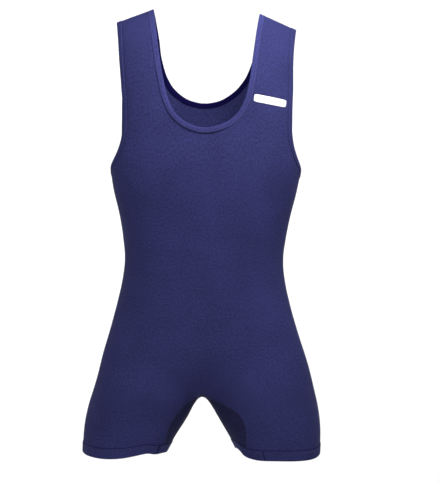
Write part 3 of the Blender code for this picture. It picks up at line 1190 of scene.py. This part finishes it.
@dataclass
class Panel:
    """Front or back panel, one piece from the leg bands to the shoulder seams.

    Each half is a grid. Its inner edge runs up the gusset seam, the centre and
    the neck, its outer edge up the side seam and the armhole. Under the
    bindings the cloth goes on into their fold.
    """

    form: SuitForm
    face: Face
    tuck: float = 3 * MM
    leg_rows: int = 32
    torso_rows: int = 56
    neck_rows: int = 60
    armhole_rows: int = 80
    columns: int = 64
    leg_crowd: float = 1.3
    edge_crowd: float = 0.72
    bend: float = 180 * MM
    bend_rows: float = 16
    bend_power: float = 4
    bend_columns: int = 10
    evening: float = 0.5
    strap_calm: float = 0.9
    calm_fade: float = 150 * MM
    side_samples: int = 1200

    @property
    def side_rows(self) -> int:
        """Rows up the side seam, so that both edges have as many in all."""
        return self.leg_rows + self.torso_rows + self.neck_rows - self.armhole_rows

    @property
    def covered(self) -> float:
        """Way from a finished edge to the panel's own, which lies in the binding's fold."""
        return self.form.binding_width - self.tuck

    def inner_edge(self, side: Side) -> Place:
        """Edge up the gusset seam, the centre and the neck.

        Args:
            side: Which half.

        Returns:
            Turns and levels.
        """
        way = self.face.value
        seam = SeamLine.gusset(self.form, self.face, side)
        seam_turns, seam_levels = seam.read(seam.stations(self.leg_rows, self.leg_crowd)[::-1])
        neck = SeamLine.neck(self.form, self.face)
        turns, levels = neck.shifted(-way * self.covered).read(neck.stations(self.neck_rows))
        centre = np.linspace(seam_levels[-1], levels[0], self.torso_rows + 1)
        middle = np.full(self.torso_rows, float(way))
        return (
            np.concatenate([seam_turns, middle, turns[1:]]),
            np.concatenate([seam_levels, centre[1:], levels[1:]]),
        )

    def outer_edge(self) -> Place:
        """Edge up the side seam and the armhole.

        Returns:
            Turns and levels.
        """
        arm = SeamLine.armhole(self.form, self.face)
        shifted = arm.shifted(self.face.value * self.covered)
        turns, levels = shifted.read(arm.stations(self.armhole_rows))
        turns[0] = 0
        low, high = self.form.band_line, self.form.height(levels[0])
        side = self.form.level(np.linspace(low, high, self.side_rows + 1))
        return (
            np.concatenate([np.zeros(self.side_rows), turns]),
            np.concatenate([side[:-1], levels]),
        )

    def row_levels(self, inner: Array, outer: Array, share: Array) -> Array:
        """Levels along each row.

        Rows are even in level at the inner edge and in height at the outer one.
        Each bends away from the corners at the crotch, the neck and the
        underarm near it, by a bell of the rows times a power of the way.

        Args:
            inner: Levels of the inner edge.
            outer: Levels of the outer edge.
            share: Way across, from 0 at the inner edge to 1.

        Returns:
            Levels, rows by columns.
        """
        form = self.form

        def pace(level: Array) -> Array:
            """Height over the chest line below it, and level above it."""
            return np.where(level < 0, form.height(level) - form.chest_line, level)

        steady = inner * (1 - share) + outer * share
        paced = pace(inner) * (1 - share) + pace(outer) * share
        paced = np.where(paced < 0, form.level(paced + form.chest_line), paced)
        row = np.arange(len(inner))[:, None]
        levels = steady * (1 - share) + paced * share
        for corner, bend, way in (
            (self.leg_rows, 1, 1 - share),
            (self.leg_rows + self.torso_rows, -1, 1 - share),
            (self.side_rows, -1, share),
        ):
            near = np.exp(-((row - corner) / self.bend_rows) ** 2)
            levels = levels + bend * self.bend * near * way ** self.bend_power * (1 - way)
        return levels

    def places(self, side: Side) -> Place:
        """Grid of a half, its columns crowded to both edges by a sine.

        Args:
            side: Which half.

        Returns:
            Turns and levels, rows by columns, with the tucked row first.
        """
        inner, outer = self.inner_edge(side), self.outer_edge()
        even = np.linspace(0, 1, self.columns + 1)
        share = even - self.edge_crowd * np.sin(2 * math.pi * even) / (2 * math.pi)
        turns = inner[0][:, None] * (1 - share) + outer[0][:, None] * share
        levels = self.row_levels(inner[1][:, None], outer[1][:, None], share[None, :])
        return np.vstack([turns[:1], turns]), np.vstack([self.form.lowered(levels[:1]), levels])

    def relief(self, points: Array, side: Side) -> Array:
        """Seam grooves and puckers over a half, calmer on the strap's inner edge.

        Args:
            points: Points of the half.
            side: Which half.

        Returns:
            Heights off the surface.
        """
        form, face, seam = self.form, self.face, SeamRelief()
        low, high = form.band_line - form.band_tuck, ARMHOLE[face][0][1] * MM
        gusset, side_seam, neck, armhole = (
            SewnLine.on(line, side) for line in (
                SeamLine.gusset(form, face, side),
                SeamLine.side_seam(form, low, high, self.side_samples),
                SeamLine.neck(form, face), SeamLine.armhole(form, face)))
        over_strap = eased(1 + points[..., 2] / self.calm_fade)
        calm = (1 - self.strap_calm * over_strap) * left_calm(points)
        return (
            seam.dip(points, gusset) + seam.dip(points, side_seam)
            + seam.ripple(points, neck, form.binding_width) * calm
            + seam.ripple(points, armhole, form.binding_width)
        )

    def rounded(self, points: Array) -> Array:
        """Half with the bend at the crotch's height drawn softer.

        Each round moves a point towards the middle of those above and below it,
        by a bell of its height over the crotch that fades out at both edges.

        Args:
            points: Points of the half.

        Returns:
            Moved points.
        """
        reach, rounds = SOFT_BEND[self.face]
        bell = np.exp(-((points[..., 2] - self.form.crotch) / (reach * MM)) ** 2)
        column = np.arange(points.shape[1])
        inward = np.minimum(column, column[::-1])
        share = (self.evening * bell * eased(inward / self.bend_columns))[1:-1, :, None]
        for _ in range(rounds):
            middle = (points[2:] + points[:-2]) / 2
            points[1:-1] += share * (middle - points[1:-1])
        return points

    def build(self, finishes: Finishes) -> bpy.types.Object:
        """Build the panel's cloth from both halves.

        Args:
            finishes: The suit's materials.

        Returns:
            The panel.
        """
        sheets = MeshSheets(f"{self.face.name.lower()}_cloth")
        for side in Side:
            turns, levels = self.places(side)
            points, out = self.form.surface(turns, levels, side)
            points = self.rounded(points + out * self.relief(points, side)[..., None])
            points[self.leg_rows + 1:self.leg_rows + self.torso_rows + 2, 0, 0] = 0
            cut = np.stack([self.form.cloth_across(turns) * side.value, levels], axis=-1)
            sheets.add(points, cut, turned=(self.face is Face.FRONT) == (side is Side.LEFT))
        return sheets.build_cloth(finishes.knit, self.form.cloth_wall)


@dataclass
class Gusset:
    """Hourglass gusset down both inner thighs, one piece through the crotch."""

    form: SuitForm
    rows: int = 48
    columns: int = 40
    crowd: float = 1.3
    middle_swell: float = 0.12
    middle_power: float = 1.15

    def half(self, line: SeamLine, face: Face) -> Place:
        """Grid from one seam to the inner leg's middle line.

        Args:
            line: The seam.
            face: Front or back.

        Returns:
            Turns and levels, rows by columns, with the tucked row last.
        """
        form = self.form
        down = np.linspace(0, 1, self.rows + 1) ** self.crowd
        span = form.level(np.array(form.band_line)) - form.crotch_level
        middle = form.crotch_level + span * down
        even = np.linspace(0, 1, self.columns // 2 + 1)
        swelled = even + np.sin(math.pi * even) * self.middle_swell
        share = np.clip(1 - swelled[None, :] ** self.middle_power, 0, 1)
        share[0, -1] = 0
        turns, levels = line.read(line.stations(self.rows, self.crowd))
        way = face.value
        grid_turns = way + (turns[:, None] - way) * share
        grid_levels = middle[:, None] + (levels - middle)[:, None] * share
        return (
            np.vstack([grid_turns, grid_turns[-1:]]),
            np.vstack([grid_levels, form.lowered(grid_levels[-1:])]),
        )

    def build(self, finishes: Finishes) -> bpy.types.Object:
        """Build both legs' halves, welded along the crotch.

        Args:
            finishes: The suit's materials.

        Returns:
            The gusset.
        """
        sheets = MeshSheets("gusset_cloth")
        for side in Side:
            for face in Face:
                line = SeamLine.gusset(self.form, face, side)
                turns, levels = self.half(line, face)
                points, out = self.form.surface(turns, levels, side)
                dip = SeamRelief().dip(points, SewnLine.on(line, side))
                points = points + out * dip[..., None]
                points[0, :, 0] = 0
                cut = np.stack([points[..., 1], levels], axis=-1)
                sheets.add(points, cut, turned=(face is Face.FRONT) != (side is Side.LEFT))
        # The gusset's darker finish is painted shade of the inner thighs
        return sheets.build_cloth(finishes.gusset, self.form.cloth_wall)


@dataclass
class FoldedStrip:
    """Strip of knit folded over a raw edge, its section carried along the edge.

    The section is a closed U: the outer ply, the roll at the finished edge, the
    inner ply and the slot between them that the panel's edge lies in. The second
    finish is that of the inner ply or, on a strip with an end joint, a painted shade
    along the joint's groove and along the seam's groove at the strip's edge.
    """

    name: str
    width: float
    bulge: float = 0.45 * MM
    ply: float = 0.75 * MM
    slot: float = 0.62 * MM
    slot_depth: float = 3.6 * MM
    slot_lip: float = 0.02 * MM
    ply_steps: int = 10
    roll_steps: int = 7
    roll_crowd: float = 1.3
    swell_power: float = 0.8
    seam_ply: float = 0.25
    joint: float | None = None
    joint_depth: float = 0.9 * MM
    joint_reach: float = 1.3 * MM
    joint_shade_width: float = 1.2 * MM
    flat_over: float | None = None
    low_stand: float = 0.08
    stand_growth: float = 1.65

    def section(self) -> tuple[Array, Array]:
        """Closed section of the strip.

        The plies are flat with a soft swell, a power of the sine of the way
        across. The roll is half an ellipse round the finished edge.

        Returns:
            Way across the strip and height off the middle surface, round the U.
        """
        top = self.slot + self.ply
        way = np.linspace(0, 1, self.ply_steps) ** self.roll_crowd
        across = self.width - (self.width - top) * way
        swell = top + self.bulge * np.sin(math.pi * (1 - across / self.width)) ** self.swell_power
        swell[0] = self.slot + self.seam_ply * self.ply
        roll = np.linspace(0, math.pi, self.roll_steps)[1:-1]
        slot = np.array([self.width - self.slot_lip, self.width - self.slot_depth])
        return (
            np.concatenate([across, top * (1 - np.sin(roll)), across[::-1], slot, slot[::-1]]),
            np.concatenate([
                swell, swell[-1] * np.cos(roll), -swell[::-1],
                [-self.slot, -self.slot, self.slot, self.slot]]),
        )

    def stand(self, points: Array) -> Array:
        """How far the outer ply stands off, as a share of its full height.

        It is 1 all along, or grows from the low share at the shoulders to the
        bottom of the scoop, less on the wearer's left.

        Args:
            points: Points along the edge.

        Returns:
            Shares.
        """
        if self.flat_over is None:
            return np.ones(len(points))
        growth = self.stand_growth * eased(-points[:, 2] / self.flat_over)
        return self.low_stand + growth * left_calm(points)

    def second_faces(self, height: Array, along: Array) -> Array:
        """Which faces have the second finish: the inner ply's, or on a band the painted shade along
        its joint and its seam.

        Args:
            height: Heights of the section's points off the middle surface.
            along: Way of each ring along the edge.

        Returns:
            True or False, rings by faces of the section.
        """
        if self.joint is None:
            return (height < 0)[None, :]
        number = np.arange(len(height))
        seam = (number == 0) | (number == len(height) - 1)
        middle = (along[1:] + along[:-1]) / 2
        return seam[None, :] | (np.abs(middle - self.joint) < self.joint_shade_width)[:, None]

    def build(
        self,
        line_at: Callable[[float], tuple[Array, Array, Array]],
        outer: bpy.types.Material,
        second: bpy.types.Material,
    ) -> bpy.types.Object:
        """Carry the section along the closed edge, pinched in at its end joint.

        Args:
            line_at: Gives points, outward normals and the way along, of the line
                at a distance in from the finished edge.
            outer: The finish of the outer ply.
            second: The second finish.

        Returns:
            The strip's object.
        """
        across, height = self.section()
        lines = [line_at(float(distance)) for distance in across]
        along = lines[0][2]
        pinch = np.zeros_like(along)
        if self.joint is not None:
            pinch = self.joint_depth * np.exp(-((along - self.joint) / self.joint_reach) ** 2)
        proud = self.stand(lines[0][0])
        rings = []
        for (points, out, _), lift in zip(lines, height):
            beyond = max(lift - self.slot, 0)
            raised = lift - beyond * (1 - proud) - (pinch if beyond else 0)
            rings.append(points + out * raised[:, None])
        rings = np.stack(rings + rings[:1], axis=1)
        rings[-1] = rings[0]
        around = way_along(np.stack([across, height], axis=1))
        around = np.append(around, 2 * around[-1] - around[-2])
        cut = np.stack(np.broadcast_arrays(around[None, :], along[:, None]), axis=-1)
        sheets = MeshSheets(self.name)
        sheets.add(rings, cut, finish=self.second_faces(height, along))
        return sheets.build(outer, second, solid=True)


@dataclass
class EdgePath:
    """Closed path of a finished edge round the suit, read at any distance in from it.

    Each part is a line, the side of the body, whether it runs backwards, and the
    sign of the way in from it.
    """

    form: SuitForm
    parts: tuple[tuple[SeamLine, Side, bool, int], ...]
    steps: int
    start_on_plane: bool = False

    @classmethod
    def neck(cls, form: SuitForm) -> "EdgePath":
        """Path round the neck: front left, back left, back right, front right.

        Args:
            form: The surface.

        Returns:
            The path.
        """
        front, back = SeamLine.neck(form, Face.FRONT), SeamLine.neck(form, Face.BACK)
        parts = (
            (front, Side.LEFT, False, -1),
            (back, Side.LEFT, True, 1),
            (back, Side.RIGHT, False, 1),
            (front, Side.RIGHT, True, -1),
        )
        return cls(form, parts, 150, start_on_plane=True)

    @classmethod
    def armhole(cls, form: SuitForm, side: Side) -> "EdgePath":
        """Path round an armhole: up the front and down the back."""
        front, back = SeamLine.armhole(form, Face.FRONT), SeamLine.armhole(form, Face.BACK)
        return cls(form, ((front, side, False, 1), (back, side, True, -1)), 190)

    def line_at(self, distance: float) -> tuple[Array, Array, Array]:
        """Line at a distance in from the finished edge.

        Args:
            distance: How far in.

        Returns:
            Points, outward normals and the way along.
        """
        points, normals = [], []
        for line, side, backwards, inward in self.parts:
            turns, levels = line.shifted(inward * distance).read(line.stations(self.steps))
            if self.start_on_plane:
                turns[0] = np.sign(line.turns[0] + line.turns[-1])
            order = slice(None, None, -1) if backwards else slice(None)
            found = self.form.surface(turns[order], levels[order], side)
            skip = 1 if points else 0
            points.append(found[0][skip:])
            normals.append(found[1][skip:])
        joined = np.concatenate(points)
        return joined, np.concatenate(normals), way_along(joined)


@dataclass
class HemPath:
    """Closed path round a leg's hem, from the inner leg."""

    form: SuitForm
    side: Side
    steps: int = 220
    joint_span: float = 0.036
    joint_steps: int = 15
    joint_clear: float = 0.038

    @property
    def joint_angle(self) -> float:
        """Angle round the leg of the band's end joint."""
        return math.radians(BAND_JOINT[self.side])

    @property
    def joint_way(self) -> float:
        """Way from the start to the band's end joint, along the finished edge."""
        way = self.line_at(0.0)[2]
        return float(np.interp(-self.joint_angle, -self.angles(), way))

    def angles(self) -> Array:
        """Angles round the leg, with closer ones at the end joint.

        Returns:
            Falling angles.
        """
        even = np.linspace(math.pi, -math.pi, self.steps + 1)
        span = np.linspace(self.joint_span, -self.joint_span, self.joint_steps)
        clear = np.abs(even - self.joint_angle) > self.joint_clear
        return np.sort(np.concatenate([even[clear], self.joint_angle + span]))[::-1]

    def line_at(self, distance: float) -> tuple[Array, Array, Array]:
        """Line at a height over the hem, the same normal at its start and end.

        Args:
            distance: The height.

        Returns:
            Points, outward normals and the way along.
        """
        angles = self.angles()
        turns = np.sign(angles) * self.form.leg_turn(np.abs(angles))
        level = np.full(turns.shape, self.form.level(np.array(self.form.hem + distance)))
        points, normals = self.form.surface(turns, level, self.side)
        normals[[0, -1]] = unit(normals[0] + normals[-1])
        return points, normals, way_along(points)


@dataclass(frozen=True)
class StitchRow:
    """Line that a row of stitches follows, and the cloth's height over it."""

    points: Array
    normals: Array
    lift: float


@dataclass
class Stitching:
    """Rows of sewing stitches, each a short thread that dips in at both ends."""

    name: str
    pitch: float = 3.0 * MM
    length: float = 2.3 * MM
    radius: float = 0.24 * MM
    arch: float = 0.9
    sink: float = 0.35
    blunt: float = 1e-4
    rings: int = 6
    sides: int = 6

    def stitch_grid(self, centres: Array, along: Array, out: Array) -> tuple[Array, Array]:
        """Points of all stitches of a row at once.

        A stitch's radius and lift are the root of one less the square of the
        way from its middle, so it is round-ended and arched.

        Args:
            centres: Middle of each stitch.
            along: Unit direction of each.
            out: Outward unit normal at each.

        Returns:
            Points, stitches by rings by sides + 1 by 3, and one stitch's map.
        """
        way = np.cos(np.linspace(math.pi, 0, self.rings))
        girth = np.sqrt(np.maximum(1 - way ** 2, self.blunt))
        angle = np.linspace(0, 2 * math.pi, self.sides + 1)
        across = np.cross(along, out)
        lift = self.radius * (self.arch * girth - self.sink)
        spine = (
            centres[:, None, :]
            + along[:, None, :] * (way * self.length / 2)[None, :, None]
            + out[:, None, :] * lift[None, :, None]
        )
        ring = (
            across[:, None, None, :] * np.cos(angle)[None, None, :, None]
            + out[:, None, None, :] * np.sin(angle)[None, None, :, None]
        )
        points = spine[:, :, None, :] + ring * (girth * self.radius)[None, :, None, None]
        cut = np.broadcast_arrays(
            (way * self.length / 2)[:, None], (angle * self.radius)[None, :])
        return points, np.stack(cut, axis=-1)

    def build(self, rows: list[StitchRow], material: bpy.types.Material) -> bpy.types.Object:
        """Build every row as one mesh, its stitches at an even pitch.

        Args:
            rows: The rows.
            material: The thread.

        Returns:
            The stitches' object.
        """
        sheets = MeshSheets(self.name)
        for row in rows:
            way = way_along(row.points)
            number = max(int(way[-1] / self.pitch), 1)
            at = (np.arange(number) + 0.5) * way[-1] / number
            centres = read_along(at, way, row.points)
            ahead = read_along(at + self.pitch / 4, way, row.points)
            behind = read_along(at - self.pitch / 4, way, row.points)
            out = unit(read_along(at, way, row.normals))
            grid, cut = self.stitch_grid(centres + out * row.lift, unit(ahead - behind), out)
            for stitch in grid:
                sheets.add(stitch, cut)
        return sheets.build(material, solid=True)


@dataclass
class ChestPatch:
    """Small blank patch on the wearer's left chest, laid on the front panel."""

    form: SuitForm
    centre: tuple[float, float] = (103 * MM, -147 * MM)
    size: tuple[float, float] = (52 * MM, 13 * MM)
    tilt: float = math.radians(-8)
    corner_power: float = 9
    wall: float = 0.35 * MM
    gap: float = 0.05 * MM
    rings: int = 10
    around: int = 120

    def build(self, finishes: Finishes) -> bpy.types.Object:
        """Build the patch as a rounded oblong on the surface, moved out onto the cloth.

        Its outline is a squarish ellipse of high power, filled by shrinking it
        to its centre.

        Args:
            finishes: The suit's materials.

        Returns:
            The patch.
        """
        angle = np.linspace(0, 2 * math.pi, self.around + 1)[None, :]
        share = np.linspace(1, 0, self.rings)[:, None]
        across, down = oval(angle, self.size[0] / 2, self.size[1] / 2, self.corner_power)
        across, up = across * share, -down * share
        x = self.centre[0] + across * math.cos(self.tilt) - up * math.sin(self.tilt)
        height = self.centre[1] + across * math.sin(self.tilt) + up * math.cos(self.tilt)
        turn = self.form.chest_turn(x)
        points, out = self.form.surface(turn, self.form.level_at(turn, height))
        lift = (self.form.cloth_wall + self.wall) / 2 + self.gap
        sheets = MeshSheets("blank_patch")
        sheets.add(points + out * lift, np.stack([across, up], axis=-1))
        return sheets.build_cloth(finishes.patch, self.wall)


@dataclass
class SquatSuit:
    """The whole suit: panels, gusset, bindings, leg bands, patch and sewing."""

    form: SuitForm
    finishes: Finishes
    band_height: float = 17 * MM
    binding_sewn: float = 1.6 * MM
    band_sewn: tuple[float, float] = (2 * MM, 5.5 * MM)
    seam_sewn: float = 2 * MM
    side_seam: tuple[float, float] = (-716 * MM, -273 * MM)
    side_samples: int = 500
    crotch_clear: int = 6
    neck_face: float = 0.62 * MM
    neck_rise: float = 0.98 * MM
    armhole_face: float = 1.15 * MM
    band_face: float = 1.36 * MM
    panel_face: float = 0.5 * MM

    def report(self, piece: bpy.types.Object, slot: str, *nodes: str) -> bpy.types.Object:
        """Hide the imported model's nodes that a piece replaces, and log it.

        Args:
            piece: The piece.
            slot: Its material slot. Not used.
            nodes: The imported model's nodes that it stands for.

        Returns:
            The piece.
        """
        if nodes:
            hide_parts(*nodes)
        log.info("%s: %d faces", piece.name, len(piece.data.polygons))
        return piece

    def build_panels(self) -> dict[str, bpy.types.Object]:
        """Build the front and back panels and the gusset.

        Returns:
            The pieces by name.
        """
        front = Panel(self.form, Face.FRONT).build(self.finishes)
        back = Panel(self.form, Face.BACK).build(self.finishes)
        gusset = Gusset(self.form).build(self.finishes)
        self.report(front, "knitted_polyester_navy", "front_panel")
        self.report(back, "knitted_polyester_navy", "back_panel")
        self.report(gusset, "gusset_knit_navy", "crotch_gusset")
        return {"front": front, "back": back, "gusset": gusset}

    @property
    def neck_strip(self) -> FoldedStrip:
        """The neck binding, flat on the straps and full at the scoops."""
        return FoldedStrip("neck_binding_cloth", self.form.binding_width, flat_over=150 * MM)

    def build_bindings(self) -> dict[str, bpy.types.Object]:
        """Build the neck and armhole bindings and the two leg bands.

        Returns:
            The pieces by name.
        """
        form, knit, dark = self.form, self.finishes.knit, self.finishes.dark_ply_and_seam_shade
        # The neck binding's lighter outer ply is partly a painted highlight of its raised rim
        neck = self.neck_strip.build(EdgePath.neck(form).line_at, self.finishes.painted_highlight_trim, dark)
        made = {"neck": self.report(neck, "binding_knit_navy", "neck_binding")}
        for side in Side:
            word = side.name.lower()
            strip = FoldedStrip(
                f"armhole_binding_cloth_{word}", form.binding_width, bulge=0.15 * MM,
                ply=0.5 * MM, slot=0.55 * MM)
            armhole = strip.build(EdgePath.armhole(form, side).line_at, knit, knit)
            hem = HemPath(form, side)
            strip = FoldedStrip(
                f"leg_band_cloth_{word}", self.band_height, bulge=0.2 * MM, ply=0.6 * MM,
                slot_depth=5 * MM, joint=hem.joint_way)
            # The band's dark second finish is painted shade along its seam's and its joint's
            # grooves
            band = strip.build(hem.line_at, knit, dark)
            made[f"armhole_{word}"] = self.report(
                armhole, "binding_knit_navy", f"armhole_binding_{word}")
            made[f"band_{word}"] = self.report(band, "binding_knit_navy", f"leg_band_{word}")
        return made

    def build_patch(self) -> bpy.types.Object:
        """Build the blank patch."""
        return self.report(ChestPatch(self.form).build(self.finishes), "label_white", "chest_label")

    def seam_rows(self, line: SeamLine, side: Side) -> list[StitchRow]:
        """Stitch rows along both sides of a seam.

        Args:
            line: The seam.
            side: Side of the body.

        Returns:
            The rows.
        """
        rows = []
        for offset in (-self.seam_sewn, self.seam_sewn):
            beside = line.shifted(offset)
            found = self.form.surface(beside.turns, beside.levels, side)
            rows.append(StitchRow(*found, self.panel_face))
        return rows

    def build_sewing(self) -> list[bpy.types.Object]:
        """Build every row of stitches.

        The neck's row lies on the strip's outer ply, which stands off by its share.

        Returns:
            The stitches' pieces.
        """
        form = self.form
        sewn = form.binding_width - self.binding_sewn
        points, normals, _ = EdgePath.neck(form).line_at(sewn)
        lift = self.neck_face + self.neck_rise * self.neck_strip.stand(points)
        neck = [StitchRow(points + normals * lift[:, None], normals, 0.0)]
        arms, hems, gusset, sides = [], [], [], []
        seam = SeamLine.side_seam(form, *self.side_seam, self.side_samples)
        for side in Side:
            found = EdgePath.armhole(form, side).line_at(sewn)
            arms.append(StitchRow(*found[:2], self.armhole_face))
            for inset in self.band_sewn:
                found = HemPath(form, side).line_at(self.band_height - inset)
                hems.append(StitchRow(*found[:2], self.band_face))
            sides += self.seam_rows(seam, side)
            for face in Face:
                line = SeamLine.gusset(form, face, side)
                clear = SeamLine(
                    form, line.turns[self.crotch_clear:], line.levels[self.crotch_clear:])
                gusset += self.seam_rows(clear, side)
        thread, dark = self.finishes.thread, self.finishes.dark_thread
        return [
            self.report(Stitching(f"{name}_stitches").build(rows, yarn), "binding_knit_navy")
            for name, rows, yarn in (
                ("neck", neck, thread), ("armhole", arms, thread), ("hem", hems, dark),
                ("gusset", gusset, dark), ("side_seam", sides, thread))
        ]


@dataclass(frozen=True)
class DiskLight:
    """Round soft light that faces a point."""

    name: str
    place: tuple[float, float, float]
    aim: tuple[float, float, float]
    size: float
    power: float

    def build(self) -> None:
        """Build the light, tipped and turned so that its own -Z runs to its aim."""
        data = bpy.data.lights.new(self.name, "AREA")
        data.shape, data.size, data.energy = "DISK", self.size, self.power
        light = bpy.data.objects.new(self.name, data)
        light.location = self.place
        x, y, z = np.array(self.place) - np.array(self.aim)
        light.rotation_euler = (math.atan2(math.hypot(x, y), z), 0, math.atan2(x, -y))
        bpy.context.scene.collection.objects.link(light)


@dataclass
class Studio:
    """Plain white sweep, soft lights and the camera at the photograph's angle."""

    distance: float = 2.25
    eye: tuple[float, float] = (0.0267, -0.380)
    view_height: float = 0.821
    roll: float = math.radians(0.7)
    floor: float = -1.8
    room: float = 3.2
    corner: float = 1.2
    wall_top: float = 3.4
    floor_rings: int = 7
    corner_rings: int = 24
    around: int = 96
    world_strength: float = 0.03
    lights: tuple[DiskLight, ...] = (
        DiskLight("key", (0.36, -0.46, 0.52), (0.05, 0.0, -0.1), 0.4, 7.3),
        DiskLight("front_light", (0.10, -0.70, 0.60), (0.0, 0.0, -0.2), 0.6, 11.2),
        DiskLight("wall_back", (0.0, 1.2, 1.4), (0.0, 4.0, -0.4), 2.5, 88),
        DiskLight("wall_front", (0.0, -2.0, 1.4), (0.0, -4.2, -0.4), 2.0, 32),
        DiskLight("wall_left", (1.6, 0.0, 1.4), (4.2, 0.0, -0.4), 2.0, 27),
        DiskLight("wall_right", (-1.6, 0.0, 1.4), (-4.2, 0.0, -0.4), 2.0, 50),
    )

    def build_sweep(self) -> None:
        """Build the floor and the wall round it, a turned profile with a round corner."""
        bend = np.linspace(0, math.pi / 2, self.corner_rings)
        floor = np.linspace(0, self.room, self.floor_rings, endpoint=False)
        wall = self.room + self.corner
        reach = np.concatenate([floor, self.room + self.corner * np.sin(bend), [wall]])
        rise = np.concatenate([
            np.zeros(self.floor_rings), self.corner * (1 - np.cos(bend)), [self.wall_top]])
        angle = np.linspace(0, 2 * math.pi, self.around + 1)
        points = np.stack(np.broadcast_arrays(
            reach[:, None] * np.cos(angle), reach[:, None] * np.sin(angle),
            rise[:, None] + self.floor), axis=-1)
        # Matt white paint, which gives the eye a plain and even ground
        made, tree = blank_material("studio_white")
        shader = add_node(tree, "ShaderNodeBsdfDiffuse", {"in:Color": colour("fbfbfb")})
        add_node(tree, "ShaderNodeOutputMaterial", {}, {"Surface": shader.outputs["BSDF"]})
        sheets = MeshSheets("studio_sweep")
        sheets.add(points, points[..., :2], turned=True)
        sheets.build(made)

    def build_lights(self) -> None:
        """Build the soft lights and a dim white world."""
        for light in self.lights:
            light.build()
        world = bpy.data.worlds.new("pale_studio")
        world.use_nodes = True
        background = world.node_tree.nodes["Background"].inputs
        background["Color"].default_value = (1, 1, 1, 1)
        background["Strength"].default_value = self.world_strength
        bpy.context.scene.world = world

    def build_camera(self) -> None:
        """Build the camera level with the waist, rolled a little as the photograph is."""
        data = bpy.data.cameras.new("camera")
        data.lens = data.sensor_width * self.distance / self.view_height
        camera = bpy.data.objects.new("camera", data)
        camera.rotation_mode = "ZYX"
        camera.rotation_euler = (math.pi / 2, 0, self.roll)
        camera.location = (self.eye[0], -self.distance, self.eye[1])
        bpy.context.scene.collection.objects.link(camera)
        bpy.context.scene.camera = camera

    def build(self) -> None:
        """Build the sweep, the lights and the camera."""
        self.build_sweep()
        self.build_lights()
        self.build_camera()
        bpy.context.scene.view_settings.view_transform = "Standard"
        log.info("studio: sweep, %d lights and camera", len(self.lights))


def main() -> None:
    """Build the suit and the studio in order."""
    logging.basicConfig(level=logging.INFO, format="%(message)s")
    suit = SquatSuit(SuitForm(), Finishes.build())
    panels = suit.build_panels()
    trims = suit.build_bindings()
    suit.build_patch()
    suit.build_sewing()
    Studio().build()


if __name__ == "__main__":
    main()
